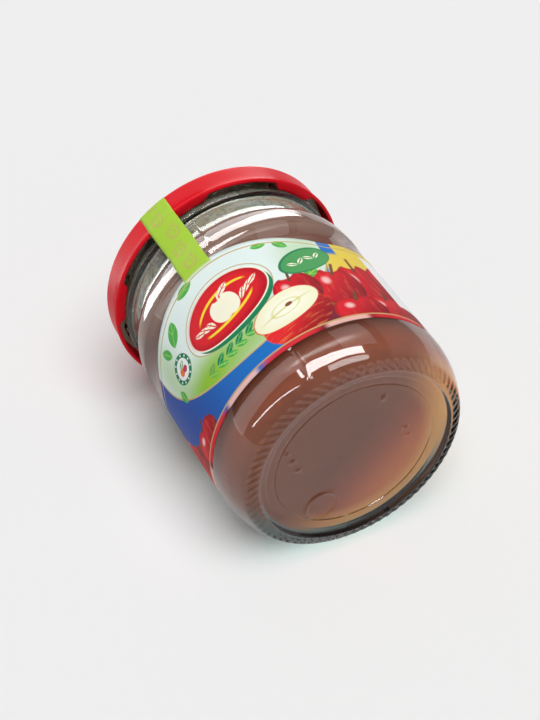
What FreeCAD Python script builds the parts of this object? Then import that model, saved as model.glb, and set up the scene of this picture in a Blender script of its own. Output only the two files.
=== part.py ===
import FreeCAD, Part
import math
import os
from FreeCAD import Vector

# A shut glass jar of apple jam, lying on its side.
#
# Every piece is first turned standing up, about a jar axis along Z: a height is
# measured from the ring the jar would stand on, a radius from the axis, and an
# angle about the axis from the side that ends up on top. lay_down then lays the
# whole jar on its side, with the lid towards -X and the base towards +X, resting
# on the lid's rolled edge and on the heel of the glass. All sizes are millimetres.

# --- the glass, outside ---------------------------------------------------------
body_radius = 42.3          # bands above and below the label
panel_depth = 0.25          # how far the label panel is set into the body
heel_height = 16.0          # where the rounding of the heel begins
heel_inset = 7.0            # how far the heel draws in down to the standing ring
toe_radius = 4.0            # the tighter rounding next to the standing ring
standing_width = 1.2        # flat of the standing ring
push_up = 1.3               # how far the middle of the base is raised
push_up_radius = 31.0
mould_ring_radius = 28.0    # fine step left by the mould's bottom plate
mould_ring_step = 0.2
glass_height = 103.7
rim_to_shoulder = 27.2      # from the rim down to where the shoulder's rounding begins
shoulder_radius = 6.0
shoulder_turn = 67.0        # degrees that the rounding goes through
shoulder_foot = 0.3         # how much higher the neck begins than the rounding ends
neck_radius = 38.6
rim_round = 0.9

# --- the glass, inside ----------------------------------------------------------
wall = 2.8
base_thickness = 4.0
inner_heel_radius = 9.0
finish_wall = 2.6           # wall of the neck
inner_shoulder_below = 6.5  # the inside starts to narrow this far below the shoulder
inner_shoulder_above = 9.5  # and ends this far above it

# --- the finish the lid screws on ------------------------------------------------
rim_to_bead = 11.4          # plain ring under the threads
bead_width = 2.4
bead_stand = 1.4
thread_count = 6
rim_to_thread = 5.5
thread_round = 1.1          # radius of a thread's section
thread_stand = 1.3          # how far a thread stands out from the neck
thread_span = 54.0          # degrees that one thread covers
thread_slope = 2.5          # degrees
first_thread_angle = -8.0

# --- the lid ----------------------------------------------------------------------
lid_sheet = 0.3
skirt_clearance = 2.5       # between the threads and the inside of the skirt
lid_corner = 1.0
lid_height = 9.9
curl_round = 0.75           # radius of the rolled edge's section
curl_stand = 0.5            # how far the rolled edge stands out from the skirt
mouth_clearance = 0.6       # between the lid's sunk panel and the glass mouth
panel_slope = 0.7           # width of the slope from the crown down to the panel
panel_drop = 0.9
button_radius = 11.0
button_rise = 0.4
lug_count = 6
lug_clearance = 0.5         # between a lug's nose and the threads' outer radius
lug_thickness = 1.3
lug_span = 19.0             # degrees
first_lug_angle = -82.0

# --- the jam -----------------------------------------------------------------------
headspace = 20.7            # from the rim down to the jam
fill_gap = 0.05             # between the jam and the glass

# --- the label and its seal strip ---------------------------------------------------
label_thickness = 0.15
label_bottom_gap = 0.5      # from the heel band up to the label
label_top_gap = 1.9         # from the top of the arch up to the end of the panel
arch_rise = 11.2
panel_to_shoulder = 6.5     # the plain band between the label panel and the shoulder
arch_half_width = 35.4      # measured straight across, seen from the front
label_angle = -34.5         # middle of the label's front
strip_width = 11.0
strip_leaves_shoulder = 35.0  # degrees round the shoulder's rounding
strip_meets_skirt = 2.6     # above the rolled edge
strip_on_panel = 5.0        # length lying on the lid's sunk panel

# --- how it lies ---------------------------------------------------------------------
flat_depth = 0.06           # worn off where the jar rests, so that it doesn't roll

# Values that follow from the ones above
panel_radius = body_radius - panel_depth
inner_radius = body_radius - wall
mouth_radius = neck_radius - finish_wall
standing_radius = body_radius - heel_inset
floor_height = push_up + base_thickness
shoulder_height = glass_height - rim_to_shoulder
inner_shoulder_low = shoulder_height - inner_shoulder_below
inner_shoulder_high = shoulder_height + inner_shoulder_above
bead_height = glass_height - rim_to_bead
thread_height = glass_height - rim_to_thread
thread_radius = neck_radius + thread_stand
jam_level = glass_height - headspace
panel_top = shoulder_height - panel_to_shoulder
label_bottom = heel_height + label_bottom_gap
arch_top = panel_top - label_top_gap
label_side_top = arch_top - arch_rise
lid_skirt_radius = thread_radius + skirt_clearance + lid_sheet
lug_inner_radius = thread_radius + lug_clearance
lid_top = glass_height + lid_sheet
lid_bottom = lid_top - lid_height
curl_centre_radius = lid_skirt_radius + curl_stand - curl_round
curl_centre_height = lid_bottom + curl_round
crown_inner_radius = mouth_radius - mouth_clearance
lid_panel_radius = crown_inner_radius - panel_slope
lid_panel_top = lid_top - panel_drop
shoulder_centre = (body_radius - shoulder_radius, shoulder_height)

# The heel is one large arc that runs on into the toe's small one. Its radius is the
# one that meets the body and the toe without a corner.
toe_centre = (standing_radius, toe_radius)
heel_radius = (heel_inset ** 2 + (heel_height - toe_radius) ** 2 - toe_radius ** 2) \
    / (2 * (heel_inset - toe_radius))
heel_centre = (body_radius - heel_radius, heel_height)
heel_end_angle = math.degrees(math.atan2(toe_centre[1] - heel_centre[1],
                                         toe_centre[0] - heel_centre[0]))

UP = Vector(0, 0, 1)
ORIGIN = Vector(0, 0, 0)


def polar(centre, radius, degrees):
    """A (radius, height) point on a circle in the profile plane."""
    angle = math.radians(degrees)
    return centre[0] + radius * math.cos(angle), centre[1] + radius * math.sin(angle)


def arc_step(centre, radius, start, end):
    """The step of a profile that follows a circle from one angle to another."""
    return polar(centre, radius, (start + end) / 2), polar(centre, radius, end)


def chain(start, steps):
    """Edges from start on. A step is an end point, or a (through, end) pair for an arc."""
    def place(point):
        return Vector(point[0], 0, point[1])
    edges = []
    here = place(start)
    for step in steps:
        if isinstance(step[0], tuple):
            through, there = place(step[0]), place(step[1])
            edges.append(Part.Arc(here, through, there).toShape())
        else:
            there = place(step)
            edges.append(Part.LineSegment(here, there).toShape())
        here = there
    return edges


def turned(start, steps, degrees=360.0):
    """The solid swept by a closed profile about the jar's axis."""
    wire = Part.Wire(chain(start, steps + [start]))
    return Part.Face(wire).revolve(ORIGIN, UP, degrees)


def spun(shape, degrees):
    """A copy of a shape turned about the jar's axis."""
    copy = shape.copy()
    copy.rotate(ORIGIN, UP, degrees)
    return copy


def inner_shoulder(gap):
    """The two arcs by which the inside narrows from the body to the neck."""
    rise = inner_shoulder_high - inner_shoulder_low
    narrowing = inner_radius - mouth_radius
    bend = 2 * math.degrees(math.atan2(narrowing, rise))
    radius = rise / (2 * math.sin(math.radians(bend)))
    low_centre = (inner_radius - radius, inner_shoulder_low)
    high_centre = (mouth_radius + radius, inner_shoulder_high)
    return [arc_step(low_centre, radius - gap, 0, bend),
            arc_step(high_centre, radius + gap, 180 + bend, 180)]


def inner_heel(gap):
    """The rounded corner between the glass floor and the inside wall."""
    centre = (inner_radius - inner_heel_radius, floor_height + inner_heel_radius)
    return arc_step(centre, inner_heel_radius - gap, -90, 0)


def glass_outside():
    """Profile steps from the standing ring up the outside to the rim."""
    rounding = arc_step(shoulder_centre, shoulder_radius, 0, shoulder_turn)
    bead_low = bead_height - bead_width / 2
    bead_high = bead_height + bead_width / 2
    rim_centre = (neck_radius - rim_round, glass_height - rim_round)
    return [arc_step(toe_centre, toe_radius, -90, heel_end_angle),
            arc_step(heel_centre, heel_radius, heel_end_angle, 0),
            (panel_radius, heel_height + panel_depth),
            (panel_radius, panel_top),
            (body_radius, panel_top + panel_depth),
            (body_radius, shoulder_height),
            rounding,
            (neck_radius, rounding[1][1] + shoulder_foot),
            (neck_radius, bead_low),
            ((neck_radius + bead_stand, bead_height), (neck_radius, bead_high)),
            (neck_radius, glass_height - rim_round),
            arc_step(rim_centre, rim_round, 0, 90)]


def glass_inside():
    """Profile steps from the rim down the inside to the middle of the floor."""
    rim_centre = (mouth_radius + rim_round, glass_height - rim_round)
    wall_low = floor_height + inner_heel_radius
    low_arc, high_arc = inner_shoulder(0)
    high_arc_start = low_arc[1]
    return [(rim_centre[0], glass_height),
            arc_step(rim_centre, rim_round, 90, 180),
            (mouth_radius, inner_shoulder_high),
            (high_arc[0], high_arc_start),
            (low_arc[0], (inner_radius, inner_shoulder_low)),
            (inner_radius, wall_low),
            (inner_heel(0)[0], (inner_radius - inner_heel_radius, floor_height)),
            (0, floor_height)]


def glass_base():
    """Profile steps from the middle of the base out to the standing ring."""
    return [(0, push_up + mould_ring_step),
            (mould_ring_radius, push_up + mould_ring_step),
            (mould_ring_radius + mould_ring_step, push_up),
            (push_up_radius, push_up),
            (standing_radius - standing_width, 0)]


def thread():
    """One short sloping bead of the jar's screw threads."""
    reach = thread_radius - thread_round
    bead = Part.makeTorus(reach, thread_round, ORIGIN, UP, -180, 180, thread_span)
    bead.rotate(ORIGIN, UP, -thread_span / 2)
    bead.rotate(ORIGIN, Vector(1, 0, 0), thread_slope)
    bead.translate(Vector(0, 0, thread_height))
    return bead


def make_jar():
    start = (standing_radius, 0)
    glass = turned(start, glass_outside() + glass_inside() + glass_base())
    threads = [spun(thread(), first_thread_angle + number * 360 / thread_count)
               for number in range(thread_count)]
    bore = Part.makeCylinder(mouth_radius + rim_round, glass_height)
    threads = [bead.cut(bore) for bead in threads]
    return glass.fuse(threads).removeSplitter()


def make_jam():
    wall_low = floor_height + inner_heel_radius
    radius = inner_radius - fill_gap
    low_arc, high_arc = inner_shoulder(fill_gap)
    whole = turned((0, floor_height + fill_gap),
                   [(inner_radius - inner_heel_radius, floor_height + fill_gap),
                    inner_heel(fill_gap),
                    (radius, inner_shoulder_low),
                    low_arc,
                    high_arc,
                    (mouth_radius - fill_gap, glass_height),
                    (0, glass_height)])
    return whole.common(Part.makeCylinder(body_radius, jam_level))


def lid_outside(proud):
    """Profile steps up the skirt, over the corner and in over the sunk panel."""
    corner = (lid_skirt_radius - lid_corner, lid_top - lid_corner)
    return [(lid_skirt_radius + proud, lid_top - lid_corner),
            arc_step(corner, lid_corner + proud, 0, 90),
            (crown_inner_radius, lid_top + proud),
            (lid_panel_radius, lid_panel_top + proud)]


def lid_inside():
    """Profile steps back out under the panel and down the inside of the skirt."""
    corner = (lid_skirt_radius - lid_corner, lid_top - lid_corner)
    return [(lid_panel_radius - lid_sheet, lid_panel_top - lid_sheet),
            (crown_inner_radius - lid_sheet, lid_top - lid_sheet),
            (corner[0], lid_top - lid_sheet),
            arc_step(corner, lid_corner - lid_sheet, 90, 0),
            (lid_skirt_radius - lid_sheet, curl_centre_height)]


def lid_button():
    """Profile steps over the raised safety button in the middle and back below it."""
    slope = button_rise * 2
    under = lid_panel_top - lid_sheet
    return [(button_radius + slope, lid_panel_top),
            (button_radius, lid_panel_top + button_rise),
            (0, lid_panel_top + button_rise),
            (0, under + button_rise),
            (button_radius, under + button_rise),
            (button_radius + slope, under)]


def lug():
    """One of the places where the rolled edge is pressed in, under a thread."""
    low = lid_bottom
    high = lid_bottom + lug_thickness
    nose = (lug_inner_radius, (low + high) / 2)
    flat_from = lug_inner_radius + lug_thickness / 2
    pad = turned((curl_centre_radius, low),
                 [(curl_centre_radius, high), (flat_from, high), (nose, (flat_from, low))],
                 lug_span)
    return spun(pad, -lug_span / 2)


def make_lid():
    shell = turned((lid_skirt_radius, curl_centre_height),
                   lid_outside(0) + lid_button() + lid_inside())
    curl = Part.makeTorus(curl_centre_radius, curl_round, Vector(0, 0, curl_centre_height))
    lugs = [spun(lug(), first_lug_angle + number * 360 / lug_count)
            for number in range(lug_count)]
    return shell.fuse([curl] + lugs).removeSplitter()


def skin_side(proud):
    """Profile points of the paper's inner side, or of its outer side if proud."""
    leave = polar(shoulder_centre, shoulder_radius + proud, strip_leaves_shoulder)
    curl_point = (curl_centre_radius + curl_round + proud, curl_centre_height)
    return [(panel_radius + proud, label_bottom),
            (panel_radius + proud, panel_top),
            (body_radius + proud, panel_top + panel_depth),
            (body_radius + proud, shoulder_height),
            (polar(shoulder_centre, shoulder_radius + proud, strip_leaves_shoulder / 2), leave),
            curl_point,
            (lid_skirt_radius + proud, curl_centre_height + strip_meets_skirt)] \
        + lid_outside(proud) \
        + [(lid_panel_radius - strip_on_panel, lid_panel_top + proud)]


def backwards(points):
    """The same profile walked the other way: its start, and its steps."""
    ends = [step[1] if isinstance(step[0], tuple) else step for step in points]
    steps = []
    for index in range(len(points) - 1, 0, -1):
        arc = isinstance(points[index][0], tuple)
        steps.append((points[index][0], ends[index - 1]) if arc else ends[index - 1])
    return [ends[-1]] + steps


def label_front():
    """The block that the label's front is cut with: low sides, an arch, and the strip."""
    reach = lid_skirt_radius * 2
    sides = Part.makeCylinder(reach, label_side_top)
    left = Vector(0, -arch_half_width, label_side_top)
    right = Vector(0, arch_half_width, label_side_top)
    arch_edges = [Part.LineSegment(left, right).toShape(),
                  Part.Arc(right, Vector(0, 0, arch_top), left).toShape()]
    arch = Part.Face(Part.Wire(arch_edges)).extrude(Vector(reach, 0, 0))
    strip_low = arch_top - strip_width
    strip = Part.makeBox(reach, strip_width, lid_top, Vector(0, -strip_width / 2, strip_low))
    return sides, spun(arch, label_angle), spun(strip, label_angle)


def make_label():
    inner = skin_side(0)
    outer = backwards(skin_side(label_thickness))
    skin = turned(inner[0], inner[1:] + outer)
    sides, arch, strip = label_front()
    keep = sides.fuse([arch, strip])
    return skin.common(keep).removeSplitter()


def rest_tilt():
    """The slope at which the rolled edge and the heel touch one flat surface."""
    if curl_centre_radius + curl_round <= body_radius:
        return 0.0
    across = curl_centre_radius - heel_centre[0]
    along = curl_centre_height - heel_height
    difference = heel_radius - curl_round
    return math.acos(difference / math.hypot(across, along)) - math.atan2(along, across)


def lay_down(pieces):
    """Lays the pieces on their side, rests them at Z = 0 and centres them."""
    tilt = rest_tilt()
    below = heel_centre[0] * math.cos(tilt) + heel_radius - heel_height * math.sin(tilt)
    for shape in pieces.values():
        shape.rotate(ORIGIN, Vector(0, 1, 0), math.degrees(tilt) - 90)
        shape.translate(Vector(0, 0, below - flat_depth))
    box = FreeCAD.BoundBox()
    for shape in pieces.values():
        box.add(shape.optimalBoundingBox(False, False))
    middle = Vector(-box.Center.x, -box.Center.y, 0)
    ground = Part.makeBox(4 * glass_height, 4 * glass_height, flat_depth * 10,
                          Vector(-2 * glass_height, -2 * glass_height, -flat_depth * 10))
    laid = {}
    for name, shape in pieces.items():
        shape.translate(middle)
        laid[name] = shape.cut(ground)
    return laid


def solid_of(shape):
    """The one solid inside a result of fusing or cutting."""
    if len(shape.Solids) != 1 or not shape.isValid():
        raise RuntimeError("expected one valid solid, got %d" % len(shape.Solids))
    return shape.Solids[0]


def main():
    os.makedirs("parts", exist_ok=True)
    pieces = {"jar": make_jar(), "jam": make_jam(), "lid": make_lid(), "label": make_label()}
    for name, shape in lay_down(pieces).items():
        solid = solid_of(shape)
        solid.exportStep("parts/" + name + ".step")
        print("%-6s %9.1f mm3" % (name, solid.Volume))


main()
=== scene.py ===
# %% [markdown]
# # A jar of apple jam, lying on its side
#
# The measured model comes first. It holds the jar's real sizes, and every piece made below
# takes its place from it, so nothing has to be fitted afterwards.

# %% Load the measured model
import math

import bmesh
import bpy
from mathutils import Matrix, Vector


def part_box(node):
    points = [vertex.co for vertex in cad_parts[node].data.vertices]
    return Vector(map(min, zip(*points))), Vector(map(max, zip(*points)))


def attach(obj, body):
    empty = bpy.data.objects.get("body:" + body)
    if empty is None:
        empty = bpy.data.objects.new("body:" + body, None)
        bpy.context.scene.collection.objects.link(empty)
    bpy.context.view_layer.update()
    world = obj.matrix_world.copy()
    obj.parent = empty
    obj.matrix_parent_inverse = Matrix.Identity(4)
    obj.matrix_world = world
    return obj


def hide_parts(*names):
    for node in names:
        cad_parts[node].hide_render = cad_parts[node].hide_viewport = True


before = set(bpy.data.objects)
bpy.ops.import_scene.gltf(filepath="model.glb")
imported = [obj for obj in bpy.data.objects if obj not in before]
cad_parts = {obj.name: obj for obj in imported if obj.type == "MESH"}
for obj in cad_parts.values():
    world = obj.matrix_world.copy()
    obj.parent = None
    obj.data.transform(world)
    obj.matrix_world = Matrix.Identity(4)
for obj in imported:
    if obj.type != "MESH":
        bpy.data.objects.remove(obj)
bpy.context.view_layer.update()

scene = bpy.context.scene

# %% [markdown]
# ## From standing to lying
#
# A jar is easiest to describe standing up: a radius from its axis, a height above the ring it
# stands on and an angle round it. The real one here lies down, touching the table with the
# rounding of its heel and with the rolled edge of its lid. So each piece is made standing, in
# millimetres, and one matrix lays it down in metres. Moving the mesh and not the object keeps
# every object at the origin, and patterns made from object coordinates stay put.

# %% The sizes that place the jar
BODY_RADIUS = 42.3
HEEL_HEIGHT = 16.0
HEEL_INSET = 7.0
TOE_RADIUS = 4.0
FOOT_RADIUS = BODY_RADIUS - HEEL_INSET
HEEL_RADIUS = (HEEL_INSET ** 2 + (HEEL_HEIGHT - TOE_RADIUS) ** 2 - TOE_RADIUS ** 2) \
    / (2 * (HEEL_INSET - TOE_RADIUS))
HEEL_CENTRE = BODY_RADIUS - HEEL_RADIUS
CURL_RADIUS = 0.75
CURL_CENTRE = 42.45
CURL_HEIGHT = 94.85
WORN_FLAT = 0.06
MILLIMETRE = 0.001

curl_run = CURL_HEIGHT - HEEL_HEIGHT
curl_reach = CURL_CENTRE - HEEL_CENTRE
rest_tilt = math.acos((HEEL_RADIUS - CURL_RADIUS) / math.hypot(curl_reach, curl_run)) \
    - math.atan2(curl_run, curl_reach)
tilt_sin = math.sin(rest_tilt)
tilt_cos = math.cos(rest_tilt)
jar_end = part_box("jar")[1].x / MILLIMETRE
shift_x = jar_end - (FOOT_RADIUS * tilt_sin + TOE_RADIUS * (1 - tilt_cos))
shift_z = HEEL_CENTRE * tilt_cos + HEEL_RADIUS - HEEL_HEIGHT * tilt_sin - WORN_FLAT
LAY_DOWN = Matrix.Scale(MILLIMETRE, 4) @ Matrix((
    (tilt_sin, 0, -tilt_cos, shift_x),
    (0, 1, 0, 0),
    (tilt_cos, 0, tilt_sin, shift_z),
    (0, 0, 0, 1)))
print("the jar rests tilted by %.2f degrees" % math.degrees(rest_tilt))

# %% [markdown]
# ## The camera
#
# The jar is seen from the base end, from above and a little to its left. A fairly long lens
# keeps the round base from bulging. The camera is aimed at the middle of the jar and rolled by
# a third of a degree, because a camera held by hand is never quite level.

# %% Aim the camera
camera_place = Vector((0.35410, -0.17700, 0.39734))
camera_aim = Vector((-0.00016, -0.00476, 0.04275))
camera_roll = math.radians(-0.29)

camera_data = bpy.data.cameras.new("camera")
camera_data.sensor_width = 36.0
camera_data.lens = 79.31
camera_data.clip_start = 0.01
camera = bpy.data.objects.new("camera", camera_data)
scene.collection.objects.link(camera)
look = (camera_aim - camera_place).to_track_quat("-Z", "Y").to_matrix().to_4x4()
camera.matrix_world = Matrix.Translation(camera_place) @ look @ Matrix.Rotation(camera_roll, 4, "Z")
scene.camera = camera
print("camera %.0f mm from the jar" % (1000 * (camera_aim - camera_place).length))

# %% [markdown]
# ## Node trees written as sums
#
# Both geometry trees and materials are made of small Math nodes. Wiring them one by one hides
# the idea, so a small class stands for a value on its way through a tree. Python's own signs
# on it add the nodes, and a formula can be read as a formula.

# %% A value in a node tree
def plug(tree, socket, value):
    """Puts a number, a colour or another node's value into a socket."""
    if isinstance(value, Value):
        tree.links.new(value.socket, socket)
    else:
        socket.default_value = value


class Value:
    """A number or colour in a node tree, on which + - * / add Math nodes."""

    def __init__(self, tree, socket):
        self.tree = tree
        self.socket = socket

    def math(self, operation, *values):
        node = self.tree.nodes.new("ShaderNodeMath")
        node.operation = operation
        for slot, value in zip(node.inputs, values):
            plug(self.tree, slot, value)
        return Value(self.tree, node.outputs[0])

    def __add__(self, other):
        return self.math("ADD", self, other)

    def __sub__(self, other):
        return self.math("SUBTRACT", self, other)

    def __rsub__(self, other):
        return self.math("SUBTRACT", other, self)

    def __mul__(self, other):
        return self.math("MULTIPLY", self, other)

    def __truediv__(self, other):
        return self.math("DIVIDE", self, other)

    def __pow__(self, other):
        return self.math("POWER", self, other)

    __radd__ = __add__
    __rmul__ = __mul__

    def most(self, other):
        return self.math("MAXIMUM", self, other)

    def size(self):
        return self.math("ABSOLUTE", self)

    def root(self):
        return self.math("SQRT", self.most(0.0))

    def sine(self):
        return self.math("SINE", self.math("RADIANS", self))

    def cosine(self):
        return self.math("COSINE", self.math("RADIANS", self))

    def sine_of_radians(self):
        return self.math("SINE", self)

    def wrapped(self, low, high):
        return self.math("WRAP", self, high, low)

    def floored(self):
        return self.math("FLOOR", self)

    def ramp(self, start, end, low=0.0, high=1.0, kind="SMOOTHSTEP"):
        """Goes smoothly from low at start to high at end."""
        node = self.tree.nodes.new("ShaderNodeMapRange")
        node.interpolation_type = kind
        for slot, value in zip(node.inputs, (self, start, end, low, high)):
            plug(self.tree, slot, value)
        return Value(self.tree, node.outputs[0])


print("node values ready")

# %% [markdown]
# Three helpers go with it. One makes a node with all its settings in one call, and two
# take a vector apart and put one together.

# %% Node helpers
def add_node(tree, kind, inputs=(), **settings):
    """A node with its settings, and its inputs given by name or by number."""
    node = tree.nodes.new(kind)
    for key, value in settings.items():
        setattr(node, key, value)
    for key, value in dict(inputs).items():
        plug(tree, node.inputs[key], value)
    return node


def split_vector(tree, vector):
    node = add_node(tree, "ShaderNodeSeparateXYZ", {0: vector})
    return [Value(tree, output) for output in node.outputs]


def join_vector(tree, x, y, z):
    node = add_node(tree, "ShaderNodeCombineXYZ", {0: x, 1: y, 2: z})
    return Value(tree, node.outputs[0])


print("node formulas ready")

# %% [markdown]
# ## Turning on the jar's axis
#
# Glass jars are blown in a round mould and lids are pressed round, so glass, jam and lid share
# one rule: a profile turned about an axis. Spin could do it, but it can't press threads or
# grip marks into the result. This Geometry Nodes tree starts from a flat grid. Each row of the
# grid is one point of the profile and each column one angle, and a relief, a formula of angle,
# radius and height, is added before the point is placed. Weights on the profile say where each
# relief may act.

# %% Fields for the turning tree
MERGE = 0.002


def given(tree, node, name):
    return Value(tree, node.outputs[name])


def profile_value(tree, group_in, row, kind, field):
    node = add_node(tree, "GeometryNodeSampleIndex", {"Index": row}, data_type=kind)
    tree.links.new(group_in.outputs["Profile"], node.inputs["Geometry"])
    tree.links.new(field.socket, node.inputs["Value"])
    return Value(tree, node.outputs["Value"])


def named_field(tree, name, kind):
    node = add_node(tree, "GeometryNodeInputNamedAttribute", {"Name": name}, data_type=kind)
    return Value(tree, node.outputs["Attribute"])


print("fields ready")

# %% [markdown]
# The tree itself counts rows and columns, looks up the profile, adds the relief and joins
# the seam. The points that the profile marks as inside get the second finish.

# %% The turning tree
def turning_tree(name, sizes, relief):
    """Builds the tree. relief(place) gives (push along the profile's outward side, push out)."""
    tree = bpy.data.node_groups.new(name, "GeometryNodeTree")
    sockets = [("Profile", "NodeSocketGeometry"), ("Points", "NodeSocketInt"),
               ("Segments", "NodeSocketInt"), ("Finish", "NodeSocketMaterial"),
               ("Inside Finish", "NodeSocketMaterial")]
    sockets += [(size, "NodeSocketFloat") for size in sizes]
    for label, kind in sockets:
        tree.interface.new_socket(label, in_out="INPUT", socket_type=kind)
    tree.interface.new_socket("Geometry", in_out="OUTPUT", socket_type="NodeSocketGeometry")
    group_in = tree.nodes.new("NodeGroupInput")
    group_out = tree.nodes.new("NodeGroupOutput")

    columns = given(tree, group_in, "Segments") + 1
    points = given(tree, group_in, "Points")
    grid = add_node(tree, "GeometryNodeMeshGrid", {"Vertices X": points, "Vertices Y": columns})
    index = Value(tree, tree.nodes.new("GeometryNodeInputIndex").outputs[0])
    row = ((index + 0.5) / columns).floored()
    column = index - row * columns
    angle = column / given(tree, group_in, "Segments") * 360.0

    position = Value(tree, tree.nodes.new("GeometryNodeInputPosition").outputs[0])
    spot = profile_value(tree, group_in, row, "FLOAT_VECTOR", position)
    side = profile_value(tree, group_in, row, "FLOAT_VECTOR",
                         named_field(tree, "outward", "FLOAT_VECTOR"))
    radius, _, height = split_vector(tree, spot)
    side_out, _, side_up = split_vector(tree, side)
    place = {"tree": tree, "angle": angle, "radius": radius, "height": height}
    for size in sizes:
        place[size] = given(tree, group_in, size)

    def weight(label):
        return profile_value(tree, group_in, row, "FLOAT", named_field(tree, label, "FLOAT"))

    along, outward = relief(place, weight)
    radius = radius + along * side_out + outward
    height = height + along * side_up
    placed = join_vector(tree, radius * angle.cosine(), radius * angle.sine(), height)
    moved = add_node(tree, "GeometryNodeSetPosition", {"Position": placed})
    tree.links.new(grid.outputs["Mesh"], moved.inputs["Geometry"])
    merged = add_node(tree, "GeometryNodeMergeByDistance", {"Distance": MERGE})
    kept = add_node(tree, "GeometryNodeStoreNamedAttribute", {"Name": "inside"},
                    data_type="FLOAT", domain="POINT")
    plug(tree, kept.inputs["Value"], weight("inside"))
    tree.links.new(moved.outputs[0], kept.inputs["Geometry"])
    tree.links.new(kept.outputs[0], merged.inputs["Geometry"])
    realized = tree.nodes.new("GeometryNodeRealizeInstances")
    tree.links.new(merged.outputs[0], realized.inputs[0])
    finished = add_node(tree, "GeometryNodeSetMaterial")
    tree.links.new(group_in.outputs["Finish"], finished.inputs["Material"])
    tree.links.new(realized.outputs[0], finished.inputs[0])
    lined = add_node(tree, "GeometryNodeSetMaterial")
    tree.links.new(group_in.outputs["Inside Finish"], lined.inputs["Material"])
    inside = named_field(tree, "inside", "FLOAT")
    plug(tree, lined.inputs["Selection"], inside.math("GREATER_THAN", inside, 0.5))
    tree.links.new(finished.outputs[0], lined.inputs[0])
    tree.links.new(lined.outputs[0], group_out.inputs[0])
    return tree


print("turning tree ready")

# %% [markdown]
# A tree could stay on its object as a modifier. It is run once and the plain mesh is kept,
# so that the piece can be laid down and used without the tree.

# %% Run a tree once
def run_tree(obj, tree, inputs):
    """Runs a geometry tree on an object once and keeps the plain mesh that comes out."""
    modifier = obj.modifiers.new("made by rule", "NODES")
    modifier.node_group = tree
    for item in tree.interface.items_tree:
        if item.in_out == "INPUT" and item.name in inputs:
            modifier[item.identifier] = inputs[item.name]
    graph = bpy.context.evaluated_depsgraph_get()
    mesh = bpy.data.meshes.new_from_object(obj.evaluated_get(graph), depsgraph=graph)
    obj.modifiers.remove(modifier)
    obj.data = mesh
    return mesh


print("tree runner ready")

# %% [markdown]
# ## Profiles
#
# A profile is a list of corners and arcs, as on a drawing. Long straight runs are cut into
# short ones where a relief needs points to act on.

# %% Helpers for profiles
def arc(centre, radius, start, end, steps, tall=None):
    """Points round part of a circle, or of an ellipse if tall gives its other half-width."""
    tall = radius if tall is None else tall
    points = []
    for step in range(steps + 1):
        angle = math.radians(start + (end - start) * step / steps)
        points.append((centre[0] + radius * math.cos(angle), centre[1] + tall * math.sin(angle)))
    return points


def run(start, end, steps):
    """Points along a straight line, both ends included."""
    return [(start[0] + (end[0] - start[0]) * step / steps,
             start[1] + (end[1] - start[1]) * step / steps) for step in range(steps + 1)]


def without_repeats(points):
    kept = [points[0]]
    for point in points[1:]:
        if math.dist(point, kept[-1]) > 2 * MERGE:
            kept.append(point)
    return kept


def outward_sides(points):
    """The direction that points away from the material, for a profile walked base to top."""
    sides = []
    for index in range(len(points)):
        before = points[max(index - 1, 0)]
        after = points[min(index + 1, len(points) - 1)]
        run_r = after[0] - before[0]
        run_h = after[1] - before[1]
        length = math.hypot(run_r, run_h)
        sides.append((run_h / length, 0.0, -run_r / length))
    return sides


print("profile helpers ready")

# %% [markdown]
# The profile becomes a bare line of points, each with its outward side and its weights. The
# tree turns the line, and the mesh is laid down, made to face outward and smoothed.

# %% Turn a profile into a piece
def turned_piece(name, profile, weights, tree, segments, finishes, sizes, smooth_angle=40.0):
    """Turns a profile with a tree and lays the piece down. finishes are outside and inside."""
    profile = without_repeats(profile)
    line = bpy.data.meshes.new(name + "_profile")
    edges = [(index, index + 1) for index in range(len(profile) - 1)]
    line.from_pydata([(r, 0.0, h) for r, h in profile], edges, [])
    outward = line.attributes.new("outward", "FLOAT_VECTOR", "POINT")
    for index, side in enumerate(outward_sides(profile)):
        outward.data[index].vector = side
    for label in sorted(set(weights) | {"inside"}):
        attribute = line.attributes.new(label, "FLOAT", "POINT")
        for index, (r, h) in enumerate(profile):
            if label in weights:
                attribute.data[index].value = weights[label](index, r, h, len(profile))
    obj = bpy.data.objects.new(name, line)
    scene.collection.objects.link(obj)
    inputs = {"Points": len(profile), "Segments": segments,
              "Finish": finishes[0], "Inside Finish": finishes[-1]}
    inputs.update(sizes)
    mesh = run_tree(obj, tree, inputs)
    lay_down_and_tidy(mesh, smooth_angle)
    print("%-10s %6d triangles" % (name, sum(len(face.vertices) - 2 for face in mesh.polygons)))
    return obj


def lay_down_and_tidy(mesh, smooth_angle):
    """Lays a standing mesh down, turns its faces outward and smooths its gentle edges."""
    mesh.transform(LAY_DOWN)
    edit = bmesh.new()
    edit.from_mesh(mesh)
    if edit.calc_volume(signed=True) < 0:
        bmesh.ops.reverse_faces(edit, faces=edit.faces[:])
    for vertex in edit.verts:
        vertex.co.z = max(vertex.co.z, 0.0)
    for face in edit.faces:
        face.smooth = True
    for edge in edit.edges:
        sharp = len(edge.link_faces) == 2 and edge.calc_face_angle(0.0) > math.radians(smooth_angle)
        edge.smooth = not sharp
    edit.to_mesh(mesh)
    edit.free()


print("piece maker ready")

# %% [markdown]
# ## Finishes: colours and shared effects
#
# Colours are written as they look on a paint chart, 0 to 255, and turned into the linear
# values that a renderer works with. Effects that several finishes use, such as a cloudy
# variation or fine dust, are one node group each.

# %% Colour and material helpers
def paint(red, green, blue):
    """A paint-chart colour as the renderer's linear one."""
    linear = []
    for part in (red, green, blue):
        share = part / 255.0
        linear.append(share / 12.92 if share <= 0.04045 else ((share + 0.055) / 1.055) ** 2.4)
    return (*linear, 1.0)


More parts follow.
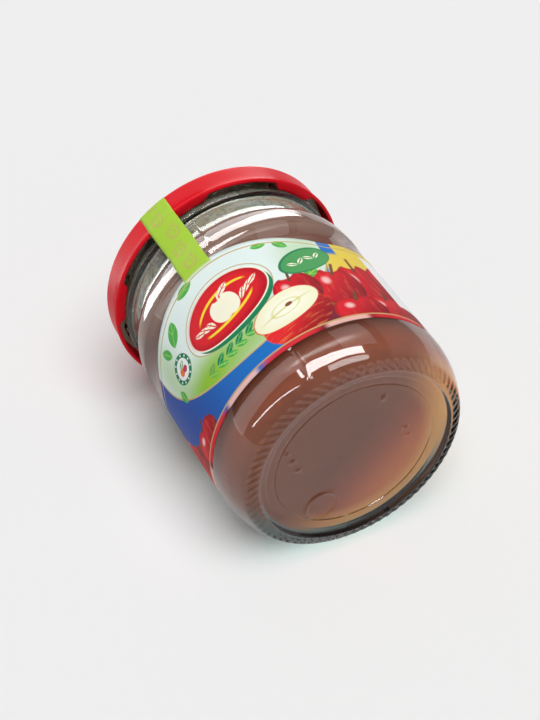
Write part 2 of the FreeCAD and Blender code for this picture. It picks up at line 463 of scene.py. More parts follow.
def new_material(name):
    material = bpy.data.materials.new(name)
    material.use_nodes = True
    tree = material.node_tree
    shader = tree.nodes["Principled BSDF"]
    return material, tree, shader


def object_place(tree):
    """The piece's own coordinates, in metres: x from lid to base, z up."""
    return Value(tree, tree.nodes.new("ShaderNodeTexCoord").outputs["Object"])


def mix_colour(tree, share, first, second, blend="MIX"):
    node = add_node(tree, "ShaderNodeMix", {"Factor": share, 6: first, 7: second},
                    data_type="RGBA", blend_type=blend)
    return Value(tree, node.outputs[2])


def add_bump(tree, shader, height, distance, strength=1.0):
    node = add_node(tree, "ShaderNodeBump", {"Height": height, "Distance": distance,
                                             "Strength": strength})
    tree.links.new(node.outputs[0], shader.inputs["Normal"])


print("colour helpers ready")

# %% [markdown]
# A group is built once from a formula and used by name. Only the soft patches are shared by
# nearly all finishes, since no real surface has quite the same colour everywhere.

# %% Node groups for finishes
def shader_group(name, inputs, outputs, build):
    """A node group for materials. build(tree, inputs by name) gives its outputs in order."""
    tree = bpy.data.node_groups.new(name, "ShaderNodeTree")
    for label, kind in inputs:
        tree.interface.new_socket(label, in_out="INPUT", socket_type=kind)
    for label, kind in outputs:
        tree.interface.new_socket(label, in_out="OUTPUT", socket_type=kind)
    group_in = tree.nodes.new("NodeGroupInput")
    group_out = tree.nodes.new("NodeGroupOutput")
    values = {label: Value(tree, group_in.outputs[label]) for label, _ in inputs}
    for slot, value in zip(group_out.inputs, build(tree, values)):
        plug(tree, slot, value)
    return tree


def use_group(tree, group, **inputs):
    """Places a group in a material. Inputs are given in lower case with _ for spaces."""
    node = add_node(tree, "ShaderNodeGroup", node_tree=group)
    for key, value in inputs.items():
        plug(tree, node.inputs[key.replace("_", " ").capitalize()], value)
    results = [Value(tree, output) for output in node.outputs]
    return results[0] if len(results) == 1 else results


FLOAT = "NodeSocketFloat"
VECTOR = "NodeSocketVector"
COLOUR = "NodeSocketColor"


def build_cloud(tree, given_values):
    """Soft uneven patches of a given size, from 0 to 1."""
    noise = add_node(tree, "ShaderNodeTexNoise", {"Vector": given_values["Place"],
                                                  "Scale": given_values["Fineness"],
                                                  "Detail": 3.0})
    return [Value(tree, noise.outputs[0]).ramp(0.3, 0.7)]


CLOUD = shader_group("soft_patches", [("Place", VECTOR), ("Fineness", FLOAT)],
                     [("Amount", FLOAT)], build_cloud)
print("node groups ready")

# %% [markdown]
# ## The glass
#
# The jar is pressed and blown glass: thick at the base, with a ring of grip marks round the
# edge it stands on, which keep the hot jar from sticking and chilling. Two fine seams show
# where the halves of the mould met. The outside and inside are one closed surface, because
# light bends at both, and the thickness between them is what makes glass look like glass.

# %% The glass profile
PANEL_RADIUS = 42.05
PANEL_TOP = 70.0
SHOULDER_START = 71.6
SHOULDER_INSET = 3.5
SHOULDER_RISE = 10.6
NECK_RADIUS = 38.6
BEAD_HEIGHT = 92.3
THREAD_HEIGHT = 98.2
GLASS_HEIGHT = 103.7
INNER_RADIUS = 39.5
MOUTH_RADIUS = 36.0
FLOOR_HEIGHT = 5.3
INNER_HEEL = 9.0
BEND_START = 70.0
BEND_RISE = 16.0
FOOT_WIDTH = 1.2
BASE_PLATE = 28.0
SHOULDER_CENTRE = (BODY_RADIUS - SHOULDER_INSET, SHOULDER_START)


def inner_wall(gap):
    """The inside from the floor's edge up to the mouth, pushed gap into the glass."""
    heel = (INNER_RADIUS - INNER_HEEL, FLOOR_HEIGHT + INNER_HEEL)
    bend = 2 * math.degrees(math.atan2(INNER_RADIUS - MOUTH_RADIUS, BEND_RISE))
    bend_radius = BEND_RISE / (2 * math.sin(math.radians(bend)))
    bend_top = (MOUTH_RADIUS + bend_radius, BEND_START + BEND_RISE)
    points = arc(heel, INNER_HEEL + gap, -90, 0, 12)
    points += arc((INNER_RADIUS - bend_radius, BEND_START), bend_radius + gap, 0, bend, 7)
    points += arc(bend_top, bend_radius - gap, 180 + bend, 180, 7)
    return points


def glass_profile():
    heel_end = math.degrees(math.atan2(TOE_RADIUS - HEEL_HEIGHT, FOOT_RADIUS - HEEL_CENTRE))
    outside = [(0.0, 1.5)] + run((4.0, 1.5), (11.0, 1.5), 4) + run((11.7, 1.5), (27.3, 1.5), 26)
    outside += [(BASE_PLATE - 0.35, 1.5), (BASE_PLATE - 0.25, 1.2), (BASE_PLATE - 0.05, 1.2),
                (BASE_PLATE + 0.05, 1.5), (BASE_PLATE + 0.4, 1.4)]
    outside += run((28.9, 1.3), (30.7, 1.3), 2)
    outside += [(30.95, 1.3), (31.1, 1.24), (31.35, 1.12), (31.6, 1.06)]
    outside += run((32.2, 1.0), (33.1, 0.86), 2)
    outside += [(33.4, 0.7), (33.75, 0.35), (FOOT_RADIUS - FOOT_WIDTH, 0.05)]
    outside += run((FOOT_RADIUS - FOOT_WIDTH + 0.3, 0.0), (FOOT_RADIUS, 0.0), 2)
    outside += arc((FOOT_RADIUS, TOE_RADIUS), TOE_RADIUS, -84, heel_end, 12)
    outside += arc((HEEL_CENTRE, HEEL_HEIGHT), HEEL_RADIUS, heel_end, 0, 22)
    outside += run((PANEL_RADIUS, 16.06), (PANEL_RADIUS, PANEL_TOP), 6)
    outside += [(BODY_RADIUS, PANEL_TOP + 0.3)]
    outside += arc(SHOULDER_CENTRE, SHOULDER_INSET, 0, 84, 16, SHOULDER_RISE)
    outside += [(38.9, 82.35), (38.7, 83.0), (NECK_RADIUS, 84.0)]
    outside += run((NECK_RADIUS, 87.0), (NECK_RADIUS, 91.0), 2)
    outside += arc((NECK_RADIUS, BEAD_HEIGHT), 1.4, -70, 70, 8, 1.2)
    outside += run((NECK_RADIUS, 94.5), (NECK_RADIUS, 95.6), 1)
    outside += run((NECK_RADIUS, 95.9), (NECK_RADIUS, 100.5), 16)
    outside += arc((NECK_RADIUS - 0.9, GLASS_HEIGHT - 0.9), 0.9, 0, 180, 8)[:-1]
    inside = list(reversed(inner_wall(0.0))) + [(20.0, FLOOR_HEIGHT), (0.0, FLOOR_HEIGHT)]
    return outside + inside, len(outside)


GLASS_PROFILE, GLASS_OUTSIDE_POINTS = glass_profile()
print("glass profile points:", len(GLASS_PROFILE))

# %% [markdown]
# ### Grip marks, seams, threads and base marks
#
# Each of these is a small formula of angle, radius and height. The grip marks are a wave round
# the toe, slanted by letting the angle lead with the radius. A thread is a half-round ridge
# whose height climbs with the angle. The base carries only a plain ring and a few dots, each
# given by its place and its size, and the heel three more, given by their angle and height.

# %% The glass relief
GRIP_COUNT = 74
SEAM_ANGLE = -22.5
THREADS = 6
BASE_RING = (-18.5, -11.3, 5.6)
BASE_DOTS = [(10.5, -24.0, 0.9), (6.3, -22.0, 1.1), (1.8, -20.0, 0.9),
             (20.6, 9.2, 1.2), (4.2, 18.0, 0.8), (0.4, 19.2, 0.8)]
HEEL_DOTS = [(-86.2, 7.9), (-89.3, 7.1), (-96.7, 6.5)]
HEEL_DOT_STAND = 0.25


def glass_relief(place, weight):
    tree = place["tree"]
    angle = place["angle"]
    radius = place["radius"]
    height = place["height"]
    slanted = angle + (radius - 36.0) * place["Grip Slant"]
    wave = (slanted * float(GRIP_COUNT)).cosine() * 0.5 + 0.5
    grips = (1.0 - wave ** 1.6) * place["Grip Depth"] * weight("gripped") * -1.0

    off_seam = ((angle - SEAM_ANGLE).sine() * radius).size()
    seams = off_seam.ramp(0.6, 0.05) * place["Seam Height"] * weight("seamed")

    across = radius * angle.cosine()
    aside = radius * angle.sine()

    def distance(x, y):
        return ((across - x) ** 2.0 + (aside - y) ** 2.0).root()

    ring = (distance(*BASE_RING[:2]) - BASE_RING[2]).size().ramp(0.7, 0.1)
    marks = ring
    for x, y, size in BASE_DOTS:
        marks = marks.most(distance(x, y).ramp(size + 0.3, size - 0.5))
    marks = marks * place["Mark Height"] * weight("marked")

    dots = None
    for dot_angle, dot_height in HEEL_DOTS:
        gap = (((angle - 360.0 - dot_angle) * 0.7) ** 2.0 + (height - dot_height) ** 2.0).root()
        dot = gap.ramp(0.75, 0.1)
        dots = dot if dots is None else dots.most(dot)
    dots = dots * HEEL_DOT_STAND * weight("seamed")

    turn = (angle + 8.0).wrapped(-180.0 / THREADS, 180.0 / THREADS)
    lead = turn.sine() * place["Thread Rise"] * NECK_RADIUS
    section = (height - THREAD_HEIGHT - lead) / 1.15
    ridge = (1.0 - section * section).root() * place["Thread Stand"]
    threads = ridge * turn.size().ramp(27.0, 24.0) * weight("threaded")

    noise = add_node(tree, "ShaderNodeTexNoise", {"Scale": 0.045, "Detail": 1.0})
    plug(tree, noise.inputs["Vector"], join_vector(tree, across, aside, height * 0.4))
    wavy = (Value(tree, noise.outputs[0]) - 0.5) * place["Waviness"] * weight("wavy")
    ripple = add_node(tree, "ShaderNodeTexNoise", {"Scale": 0.35, "Detail": 1.0})
    plug(tree, ripple.inputs["Vector"], join_vector(tree, across, aside, height * 1.6))
    wavy = wavy + (Value(tree, ripple.outputs[0]) - 0.5) * place["Ripple"] * weight("wavy")
    return grips + seams + marks + dots + wavy, threads


print("relief formulas ready")

# %% [markdown]
# Weights on the profile keep each relief to its own place: the grip marks to the toe, the
# threads to the neck and the base marks to the plate. The inside has only the slight waves.

# %% Where each relief acts
def bell(value, start, full_start, full_end, end):
    """0 outside start..end, 1 inside full_start..full_end, smooth between."""
    rising = min(max((value - start) / (full_start - start), 0.0), 1.0)
    falling = min(max((end - value) / (end - full_end), 0.0), 1.0)
    share = min(rising, falling)
    return share * share * (3 - 2 * share)


def glass_outer_only(rule):
    return lambda index, r, h, count: rule(r, h) if index < GLASS_OUTSIDE_POINTS else 0.0


def seam_weight(r, h):
    """No seam is made under the label, so that the paper lies flat."""
    if r < 37:
        return 0.4 * bell(r, 30.0, 31.0, 36.0, 37.0) if h < 2 else 0.0
    return max(bell(h, 2.0, 4.0, 15.0, 16.5), bell(h, 70.5, 73.0, 88.0, 91.0))


GLASS_WEIGHTS = {
    "gripped": glass_outer_only(lambda r, h: bell(r, 34.4, 35.2, 37.2, 38.6) if h < 3 else 0.0),
    "seamed": glass_outer_only(seam_weight),
    "marked": glass_outer_only(lambda r, h: 1.0 if r < 27.5 and h < 2 else 0.0),
    "threaded": glass_outer_only(lambda r, h: 1.0 if 95 < h < 102 else 0.0),
    "wavy": lambda index, r, h, count: bell(h, 2.5, 8.0, 90.0, 94.0),
}
print("relief weights ready")

# %% [markdown]
# ### Clear glass that lets light in
#
# Real glass bends lamp light on to what is behind it, and a renderer finds that light only by
# luck. So lamp rays pass straight through, and every other ray sees true glass. The faint green
# of bottle glass comes from absorption inside it, so a thick edge looks darker than a wall.

# %% The glass finish
def glass_material():
    material, tree, shader = new_material("clear_glass")
    shader.inputs["Base Color"].default_value = (1.0, 1.0, 1.0, 1.0)
    shader.inputs["Roughness"].default_value = 0.0
    shader.inputs["IOR"].default_value = 1.5
    shader.inputs["Transmission Weight"].default_value = 1.0
    through = add_node(tree, "ShaderNodeBsdfTransparent", {"Color": (0.95, 0.97, 0.96, 1.0)})
    lamp_ray = tree.nodes.new("ShaderNodeLightPath").outputs["Is Shadow Ray"]
    blend = tree.nodes.new("ShaderNodeMixShader")
    tree.links.new(lamp_ray, blend.inputs[0])
    tree.links.new(shader.outputs[0], blend.inputs[1])
    tree.links.new(through.outputs[0], blend.inputs[2])
    body = add_node(tree, "ShaderNodeVolumeAbsorption", {"Color": (0.30, 0.75, 0.70, 1.0),
                                                         "Density": 32.0})
    output = tree.nodes["Material Output"]
    tree.links.new(blend.outputs[0], output.inputs["Surface"])
    tree.links.new(body.outputs[0], output.inputs["Volume"])
    return material


GLASS = glass_material()
GLASS_SIZES = {"Grip Depth": 0.8, "Grip Slant": 1.2, "Seam Height": 0.45, "Mark Height": 0.65,
               "Thread Rise": 0.0437, "Thread Stand": 1.3, "Waviness": 0.12,
               "Ripple": 0.035}
GLASS_TREE = turning_tree("turned_glass", GLASS_SIZES, glass_relief)
glass = turned_piece("glass_jar", GLASS_PROFILE, GLASS_WEIGHTS, GLASS_TREE, 540, [GLASS],
                     GLASS_SIZES, smooth_angle=60.0)
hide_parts("jar")
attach(glass, "root")

# %% [markdown]
# ## The jam
#
# The jam was poured hot and has set against the glass. There is no air between them, so its
# surface is made to reach a tenth of a millimetre into the wall: light then meets jam straight
# from glass. Its top, in the neck, is uneven and climbs a little at the rim. Light that goes
# into thick jam is costly to follow, so the lighter and darker parts are painted on as fields.

# %% Shape the jam
JAM_LEVEL = 83.0
JAM_INTO_WALL = 0.12
AXIS_HEIGHT = 0.042


def jam_profile():
    wall = [point for point in inner_wall(JAM_INTO_WALL) if point[1] < JAM_LEVEL + 1.0]
    edge = wall[-1][0]
    top = [(edge - 0.1, JAM_LEVEL + 1.2), (edge - 0.6, JAM_LEVEL + 1.0),
           (edge - 1.4, JAM_LEVEL + 0.4)]
    top += run((edge - 2.4, JAM_LEVEL), (2.0, JAM_LEVEL), 16) + [(0.0, JAM_LEVEL)]
    low = FLOOR_HEIGHT - JAM_INTO_WALL
    return [(0.0, low)] + run((6.0, low), (26.0, low), 5) + wall + top


def jam_relief(place, weight):
    tree = place["tree"]
    across = place["radius"] * place["angle"].cosine()
    aside = place["radius"] * place["angle"].sine()
    noise = add_node(tree, "ShaderNodeTexNoise", {"Scale": place["Lump Scale"], "Detail": 3.0})
    plug(tree, noise.inputs["Vector"], join_vector(tree, across, aside, 0.0))
    lumps = (Value(tree, noise.outputs[0]) - 0.5) * place["Lump Height"] * weight("free")
    return lumps, lumps * 0.0


print("jam profile ready")

# %% [markdown]
# Every field below is a soft step in x, from the lid's side to the base's, in height, or in
# distance from the axis. They are in metres, because they are read in the jam as it lies.

# %% The jam's finish and the jam
def jam_material():
    material, tree, shader = new_material("set_apple_jam")
    place = object_place(tree)
    x, y, z = split_vector(tree, place)
    patches = use_group(tree, CLOUD, place=place, fineness=38.0)
    flecks = use_group(tree, CLOUD, place=place, fineness=420.0)
    colour = mix_colour(tree, patches, paint(132, 66, 48), paint(142, 73, 52))
    colour = mix_colour(tree, flecks * 0.1, colour, paint(176, 94, 52))
    # Painted light: amber and then gold grow over the base, from its middle towards its lower right
    # side, where light comes through the jam.
    near_base = x.ramp(0.034, 0.047)
    lit = y * 0.75 - (z - AXIS_HEIGHT) * 0.66
    from_axis = (y * y + (z - AXIS_HEIGHT) ** 2.0).root()
    colour = mix_colour(tree, lit.ramp(-0.003, 0.028) * near_base, colour, paint(200, 86, 54))
    colour = mix_colour(tree, lit.ramp(0.008, 0.040) * near_base, colour, paint(240, 136, 70))
    # Painted light: the edge of the base is lighter still, where light comes through the thin jam
    # behind the glass.
    rim = from_axis.ramp(0.0240, 0.0310) * lit.ramp(-0.008, 0.026) * x.ramp(0.0425, 0.0462)
    colour = mix_colour(tree, rim, colour, paint(240, 162, 96))
    # Painted shade: the low corner of the heel is grey, where the thick glass over it dims the jam's
    # colour.
    heel_painted_shade = from_axis.ramp(0.0333, 0.0350) * z.ramp(0.034, 0.018) * x.ramp(0.037, 0.042)
    colour = mix_colour(tree, heel_painted_shade, colour, paint(106, 108, 104))
    # Painted shade: the upper side of the heel is dark. Painted reflection: the jam behind the
    # shoulder is paler and greyer.
    upper_painted_shade = z.ramp(0.024, 0.066) * x.ramp(0.046, 0.037)
    colour = mix_colour(tree, upper_painted_shade, colour, paint(97, 45, 28))
    colour = mix_colour(tree, x.ramp(-0.006, -0.018) * 0.8, colour, paint(114, 84, 73))
    plug(tree, shader.inputs["Base Color"], colour)
    shader.inputs["Roughness"].default_value = 0.22
    shader.inputs["IOR"].default_value = 1.42
    return material


JAM = jam_material()
JAM_SIZES = {"Lump Scale": 0.16, "Lump Height": 1.6}
JAM_WEIGHTS = {"free": lambda index, r, h, count: 1.0 if h > 82.5 and r < 34.5 else 0.0}
JAM_TREE = turning_tree("turned_jam", JAM_SIZES, jam_relief)
jam = turned_piece("jam_filling", jam_profile(), JAM_WEIGHTS, JAM_TREE, 180, [JAM], JAM_SIZES)
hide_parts("jam")
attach(jam, "root")

# %% [markdown]
# ## Mist and dew over the jam
#
# The jar was closed hot, so steam has settled inside the neck, above the jam. It is made in two
# parts. A very thin ring of mist takes the shine off the glass and makes it paler. Drops stand
# on it: a small tree scatters points on a tube, sets a flattened ball of a few dozen faces on
# each, turned to face outward, and varies their size. A fixed seed keeps them in place.

# %% Make the mist
MIST_LOW = 83.4
MIST_HIGH = 97.0
MIST_THICK = 0.06
MIST_INTO_WALL = 0.1


def no_relief(place, weight):
    nothing = place["radius"] * 0.0
    return nothing, nothing


def mist_material():
    material, tree, shader = new_material("settled_mist")
    place = object_place(tree)
    patches = use_group(tree, CLOUD, place=place, fineness=160.0)
    fine = use_group(tree, CLOUD, place=place, fineness=700.0)
    plug(tree, shader.inputs["Base Color"],
         mix_colour(tree, patches, paint(164, 161, 151), paint(146, 132, 112)))
    shader.inputs["Roughness"].default_value = 0.8
    shader.inputs["Specular IOR Level"].default_value = 0.1
    plug(tree, shader.inputs["Alpha"], patches * 0.15 + fine * 0.35 + 0.35)
    return material


def mist_profile():
    """A thin ring that follows the inside of the neck and reaches a little into the glass."""
    wall = [point for point in inner_wall(MIST_INTO_WALL) if point[1] > MIST_LOW]
    wall = wall + [(MOUTH_RADIUS + MIST_INTO_WALL, MIST_HIGH)]
    back = [(r - MIST_THICK, h) for r, h in reversed(wall)]
    return wall + back + wall[:1]


mist = turned_piece("headspace_mist", mist_profile(), {}, turning_tree("turned_mist", {}, no_relief),
                    180, [mist_material()], {})
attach(mist, "root")

# %% [markdown]
# ### Scattering the dew
#
# The drops start as points on a tube that lies just inside the glass. Most of them are small
# and a few large, as real dew is, because the random width is raised to a power.

# %% Make the dew
DEW_MIDDLE = 90.6
DEW_DEPTH = 11.0
DEW_OFF_WALL = 0.02
DROP_COUNT = 1300
DROP_SIZE = 0.55


def dew_tree():
    tree = bpy.data.node_groups.new("scattered_dew", "GeometryNodeTree")
    wanted = [("Tube", "NodeSocketGeometry"), ("Drops", "NodeSocketInt"),
              ("Size", "NodeSocketFloat"), ("Finish", "NodeSocketMaterial")]
    for label, kind in wanted:
        tree.interface.new_socket(label, in_out="INPUT", socket_type=kind)
    tree.interface.new_socket("Geometry", in_out="OUTPUT", socket_type="NodeSocketGeometry")
    group_in = tree.nodes.new("NodeGroupInput")
    group_out = tree.nodes.new("NodeGroupOutput")
    dense = given(tree, group_in, "Drops") / (2 * math.pi * MOUTH_RADIUS * DEW_DEPTH)
    points = add_node(tree, "GeometryNodeDistributePointsOnFaces", {"Density": dense, "Seed": 7})
    tree.links.new(group_in.outputs["Tube"], points.inputs["Mesh"])
    ball = add_node(tree, "GeometryNodeMeshUVSphere", {"Segments": 8, "Rings": 5, "Radius": 1.0})
    rounded = add_node(tree, "GeometryNodeSetShadeSmooth")
    tree.links.new(ball.outputs["Mesh"], rounded.inputs[0])
    chance = add_node(tree, "FunctionNodeRandomValue", {"Seed": 3}, data_type="FLOAT")
    width = (Value(tree, chance.outputs[1]) ** 2.2 * 0.8 + 0.2) * given(tree, group_in, "Size")
    scale = join_vector(tree, width, width * 1.2, width * 0.4)
    stand = add_node(tree, "GeometryNodeInstanceOnPoints", {"Scale": scale})
    tree.links.new(points.outputs["Points"], stand.inputs["Points"])
    tree.links.new(rounded.outputs[0], stand.inputs["Instance"])
    tree.links.new(points.outputs["Rotation"], stand.inputs["Rotation"])
    realized = tree.nodes.new("GeometryNodeRealizeInstances")
    tree.links.new(stand.outputs[0], realized.inputs[0])
    finished = add_node(tree, "GeometryNodeSetMaterial")
    tree.links.new(group_in.outputs["Finish"], finished.inputs["Material"])
    tree.links.new(realized.outputs[0], finished.inputs[0])
    tree.links.new(finished.outputs[0], group_out.inputs[0])
    return tree


def dew_material():
    material, tree, shader = new_material("dew_drops")
    place = object_place(tree)
    patches = use_group(tree, CLOUD, place=place, fineness=300.0)
    plug(tree, shader.inputs["Base Color"],
         mix_colour(tree, patches, paint(214, 208, 190), paint(176, 150, 112)))
    shader.inputs["Roughness"].default_value = 0.12
    plug(tree, shader.inputs["Alpha"], patches * 0.2 + 0.35)
    return material


def scatter_dew():
    tube = bpy.data.meshes.new("dew_tube")
    edit = bmesh.new()
    tube_radius = MOUTH_RADIUS - DEW_OFF_WALL
    bmesh.ops.create_cone(edit, segments=96, radius1=tube_radius, radius2=tube_radius,
                          depth=DEW_DEPTH)
    bmesh.ops.translate(edit, verts=edit.verts[:], vec=(0.0, 0.0, DEW_MIDDLE))
    edit.to_mesh(tube)
    edit.free()
    obj = bpy.data.objects.new("dew_drops", tube)
    scene.collection.objects.link(obj)
    run_tree(obj, dew_tree(), {"Drops": DROP_COUNT, "Size": DROP_SIZE, "Finish": dew_material()})
    lay_down_and_tidy(obj.data, 60.0)
    print("dew_drops  %6d triangles" % sum(len(face.vertices) - 2 for face in obj.data.polygons))
    return obj


dew = scatter_dew()
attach(dew, "root")

# %% [markdown]
# ## The lid
#
# The lid is pressed from thin tinplate, enamelled red outside and lacquered inside. Its edge
# is rolled into a curl, and at six places the curl is pushed in to make lugs, which slide
# under the glass threads. One closed profile gives both faces of the sheet, and the lugs are
# a relief that acts only on the inner side of the curl.

# %% Shape the lid
LID_SKIRT = 42.7
LID_SHEET = 0.3
LID_TOP = 104.0
LID_PANEL_TOP = 103.1
LID_CORNER = (41.7, 103.0)
LID_CORNER_RADIUS = 1.0
CURL_STEPS_OUTSIDE = 22
LUGS = 6
FIRST_LUG = -82.0


def lid_profile():
    curl = (CURL_CENTRE, CURL_HEIGHT)
    points = [(0.0, 103.5)] + run((8.0, 103.5), (10.8, 103.48), 2)
    points += [(11.2, 103.4), (11.8, 103.1)]
    points += run((14.0, LID_PANEL_TOP), (34.4, LID_PANEL_TOP), 4)
    points += [(34.75, 103.2), (35.25, 103.9), (35.6, 104.0), (38.0, 104.0), (41.2, 104.0)]
    points += arc(LID_CORNER, LID_CORNER_RADIUS, 88, 0, 8)
    points += run((LID_SKIRT, 102.4), (LID_SKIRT, 96.2), 4)
    points += arc(curl, CURL_RADIUS, 62, -266, 26)
    points += run((LID_SKIRT - LID_SHEET, 96.4), (LID_SKIRT - LID_SHEET, 102.8), 3)
    points += arc(LID_CORNER, LID_CORNER_RADIUS - LID_SHEET, 0, 90, 5)
    points += [(35.2, 103.7), (34.6, 102.8), (12.0, 102.8), (11.0, 103.2), (0.0, 103.2)]
    return points


def lid_relief(place, weight):
    turn = (place["angle"] - FIRST_LUG).wrapped(-180.0 / LUGS, 180.0 / LUGS)
    half = place["Lug Span"] * 0.5
    push = turn.size().ramp(half + 3.5, half - 1.0) * place["Lug Push"] * weight("lugged")
    return push * 0.0, push * -1.0


def lid_side_weight(index, r, h, count):
    inward = (CURL_CENTRE - r) / CURL_RADIUS
    above_curl = CURL_HEIGHT + CURL_RADIUS + 0.01
    return bell(inward, -0.8, 0.6, 1.5, 2.0) if h < above_curl else 0.0


def lid_inside_weight(index, r, h, count):
    halfway = LID_PROFILE.index(min(LID_PROFILE, key=lambda point: point[1]))
    return 1.0 if index > halfway + CURL_STEPS_OUTSIDE else 0.0


print("lid profile ready")

# %% [markdown]
# The enamel is a plain dull red with a very fine orange-peel surface. The lacquer inside is
# pale and slightly metallic.

# %% Enamel, lacquer and the lid
def enamel_material():
    material, tree, shader = new_material("red_enamel")
    place = object_place(tree)
    patches = use_group(tree, CLOUD, place=place, fineness=30.0)
    plug(tree, shader.inputs["Base Color"],
         mix_colour(tree, patches, paint(210, 16, 30), paint(214, 22, 36)))
    shader.inputs["Roughness"].default_value = 0.36
    shader.inputs["Specular IOR Level"].default_value = 0.08
    peel = add_node(tree, "ShaderNodeTexNoise", {"Vector": place, "Scale": 700.0, "Detail": 1.0})
    add_bump(tree, shader, Value(tree, peel.outputs[0]), 0.00003, 0.4)
    return material


def lacquer_material():
    material, tree, shader = new_material("lid_lacquer")
    place = object_place(tree)
    patches = use_group(tree, CLOUD, place=place, fineness=60.0)
    plug(tree, shader.inputs["Base Color"],
         mix_colour(tree, patches, paint(206, 198, 172), paint(218, 210, 186)))
    shader.inputs["Metallic"].default_value = 0.3
    shader.inputs["Roughness"].default_value = 0.4
    return material


LID_PROFILE = without_repeats(lid_profile())
ENAMEL = enamel_material()
LACQUER = lacquer_material()
LID_SIZES = {"Lug Span": 19.0, "Lug Push": 2.3}
LID_WEIGHTS = {"lugged": lid_side_weight, "inside": lid_inside_weight}
LID_TREE = turning_tree("turned_lid", LID_SIZES, lid_relief)
lid = turned_piece("screw_lid", LID_PROFILE, LID_WEIGHTS, LID_TREE, 360, [ENAMEL, LACQUER],
                   LID_SIZES, smooth_angle=50.0)
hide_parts("lid")
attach(lid, "root")

# %% [markdown]
# ## The label and its seal strip
#
# The label is one sheet of paper: a band round the body, an arch at the front, and a tongue
# that runs on over the shoulder and the lid, so that opening the jar tears it. A sheet like
# this is easiest to make column by column. Each column knows how high it reaches, the columns
# of the tongue go on along the path over shoulder and lid, and Solidify gives the paper its
# thickness. At the back the sheet's end lies over its beginning.

# %% Where the paper lies
LABEL_ANGLE = -34.5
LABEL_LOW = 16.5
LABEL_SIDE_TOP = 56.9
ARCH_RISE = 11.2
ARCH_HALF = 35.4
ARCH_RADIUS = (ARCH_HALF ** 2 + ARCH_RISE ** 2) / (2 * ARCH_RISE)
STRIP_HALF = 5.5
PAPER = 0.15
PAPER_GAP = 0.02
OVERLAP = 9.0
HALF_ROUND = math.pi * PANEL_RADIUS


def label_top(aside):
    """Height of the label's top edge at a distance to the side, seen from the front."""
    if abs(aside) >= ARCH_HALF:
        return LABEL_SIDE_TOP
    return LABEL_SIDE_TOP + math.sqrt(ARCH_RADIUS ** 2 - aside ** 2) - (ARCH_RADIUS - ARCH_RISE)


def strip_path():
    """(radius, height) of the glass and lid under the strip, from the label's top on."""
    path = [(PANEL_RADIUS, LABEL_SIDE_TOP + ARCH_RISE), (PANEL_RADIUS, 69.8),
            (BODY_RADIUS, PANEL_TOP + 0.4)]
    path += arc(SHOULDER_CENTRE, SHOULDER_INSET, 0, 50, 8, SHOULDER_RISE)
    curl_edge = (CURL_CENTRE + CURL_RADIUS, CURL_HEIGHT)
    path += run(path[-1], curl_edge, 8)[1:]
    path += [(CURL_CENTRE + CURL_RADIUS * 0.9, CURL_HEIGHT + 0.5)]
    path += run((LID_SKIRT, 97.2), (LID_SKIRT, 103.0), 6)
    path += arc(LID_CORNER, LID_CORNER_RADIUS, 15, 90, 5)
    path += run((39.5, LID_TOP), (35.6, LID_TOP), 4)
    path += run((34.9, 103.25), (29.7, LID_PANEL_TOP), 6)
    return without_repeats(path)


# Steps along the strip, each with the length of paper used so far.
STRIP_PATH = strip_path()
STRIP_LENGTHS = [0.0]
for before, after in zip(STRIP_PATH, STRIP_PATH[1:]):
    STRIP_LENGTHS.append(STRIP_LENGTHS[-1] + math.dist(before, after))
print("strip length, mm: %.1f" % STRIP_LENGTHS[-1])

# %% [markdown]
# ### Cutting the sheet
#
# Every corner of the sheet carries its place in the print: how far round it lies, how high, and
# how far below the top edge. So the print knows nothing of the jar's shape, and one drawing
# serves the band and the strip. The faces are sorted into tiles, each with a finish of its own.

# %% Cut the paper
LABEL_ROWS = 36


def column_places():
    """Where the columns stand, measured along the paper from the middle of its front."""
    corner = math.asin(ARCH_HALF / PANEL_RADIUS) * PANEL_RADIUS
    stops = [-HALF_ROUND, -50.0, -corner, -21.0, -STRIP_HALF, STRIP_HALF, 21.0, corner, 50.0,
             HALF_ROUND, HALF_ROUND + OVERLAP]
    counts = [82, 8, 21, 15, 10, 15, 21, 8, 82, 9]
    places = [stops[0]]
    for start, end, count in zip(stops, stops[1:], counts):
        places += [start + (end - start) * step / count for step in range(1, count + 1)]
    return places


def sheet_mesh():
    edit = bmesh.new()
    print_layer = edit.verts.layers.float_vector.new("print_mm")

    def corner_at(radius, height, turn, paper_u, paper_v, top_gap):
        """A point of the sheet, and its place in the print."""
        angle = math.radians(LABEL_ANGLE) + turn
        vertex = edit.verts.new((radius * math.cos(angle), radius * math.sin(angle), height))
        vertex[print_layer] = (paper_u, paper_v, top_gap)
        return vertex

    columns = []
    for u in column_places():
        on_strip = abs(u) <= STRIP_HALF + 1e-6
        turn = u / PANEL_RADIUS
        top = label_top(PANEL_RADIUS * math.sin(turn)) if abs(turn) < math.pi / 2 \
            else LABEL_SIDE_TOP
        lift = PAPER_GAP + PAPER * 1.15 * bell(u, HALF_ROUND - 1.0, HALF_ROUND + 2.0, 999, 1000)
        column = []
        for row in range(LABEL_ROWS + 1):
            height = LABEL_LOW + (top - LABEL_LOW) * row / LABEL_ROWS
            column.append(corner_at(PANEL_RADIUS + lift, height, turn, u, height, top - height))
        if on_strip:
            for (radius, height), length in zip(STRIP_PATH[1:], STRIP_LENGTHS[1:]):
                across = math.asin(u / (radius + PAPER_GAP))
                column.append(corner_at(radius + PAPER_GAP, height, across, u, top + length, -length))
        columns.append(column)
    for left, right in zip(columns, columns[1:]):
        for row in range(min(len(left), len(right)) - 1):
            face = edit.faces.new((left[row], right[row], right[row + 1], left[row + 1]))
            middle_u = (left[row][print_layer][0] + right[row][print_layer][0]) / 2
            tiles = [number for number, edge in enumerate(TILE_EDGES[1:-1]) if middle_u > edge]
            on_tongue = row >= LABEL_ROWS
            face.material_index = len(TILE_EDGES) - 1 if on_tongue else len(tiles)
    mesh = bpy.data.meshes.new("paper_label")
    edit.to_mesh(mesh)
    edit.free()
    return mesh


print("paper columns:", len(column_places()))

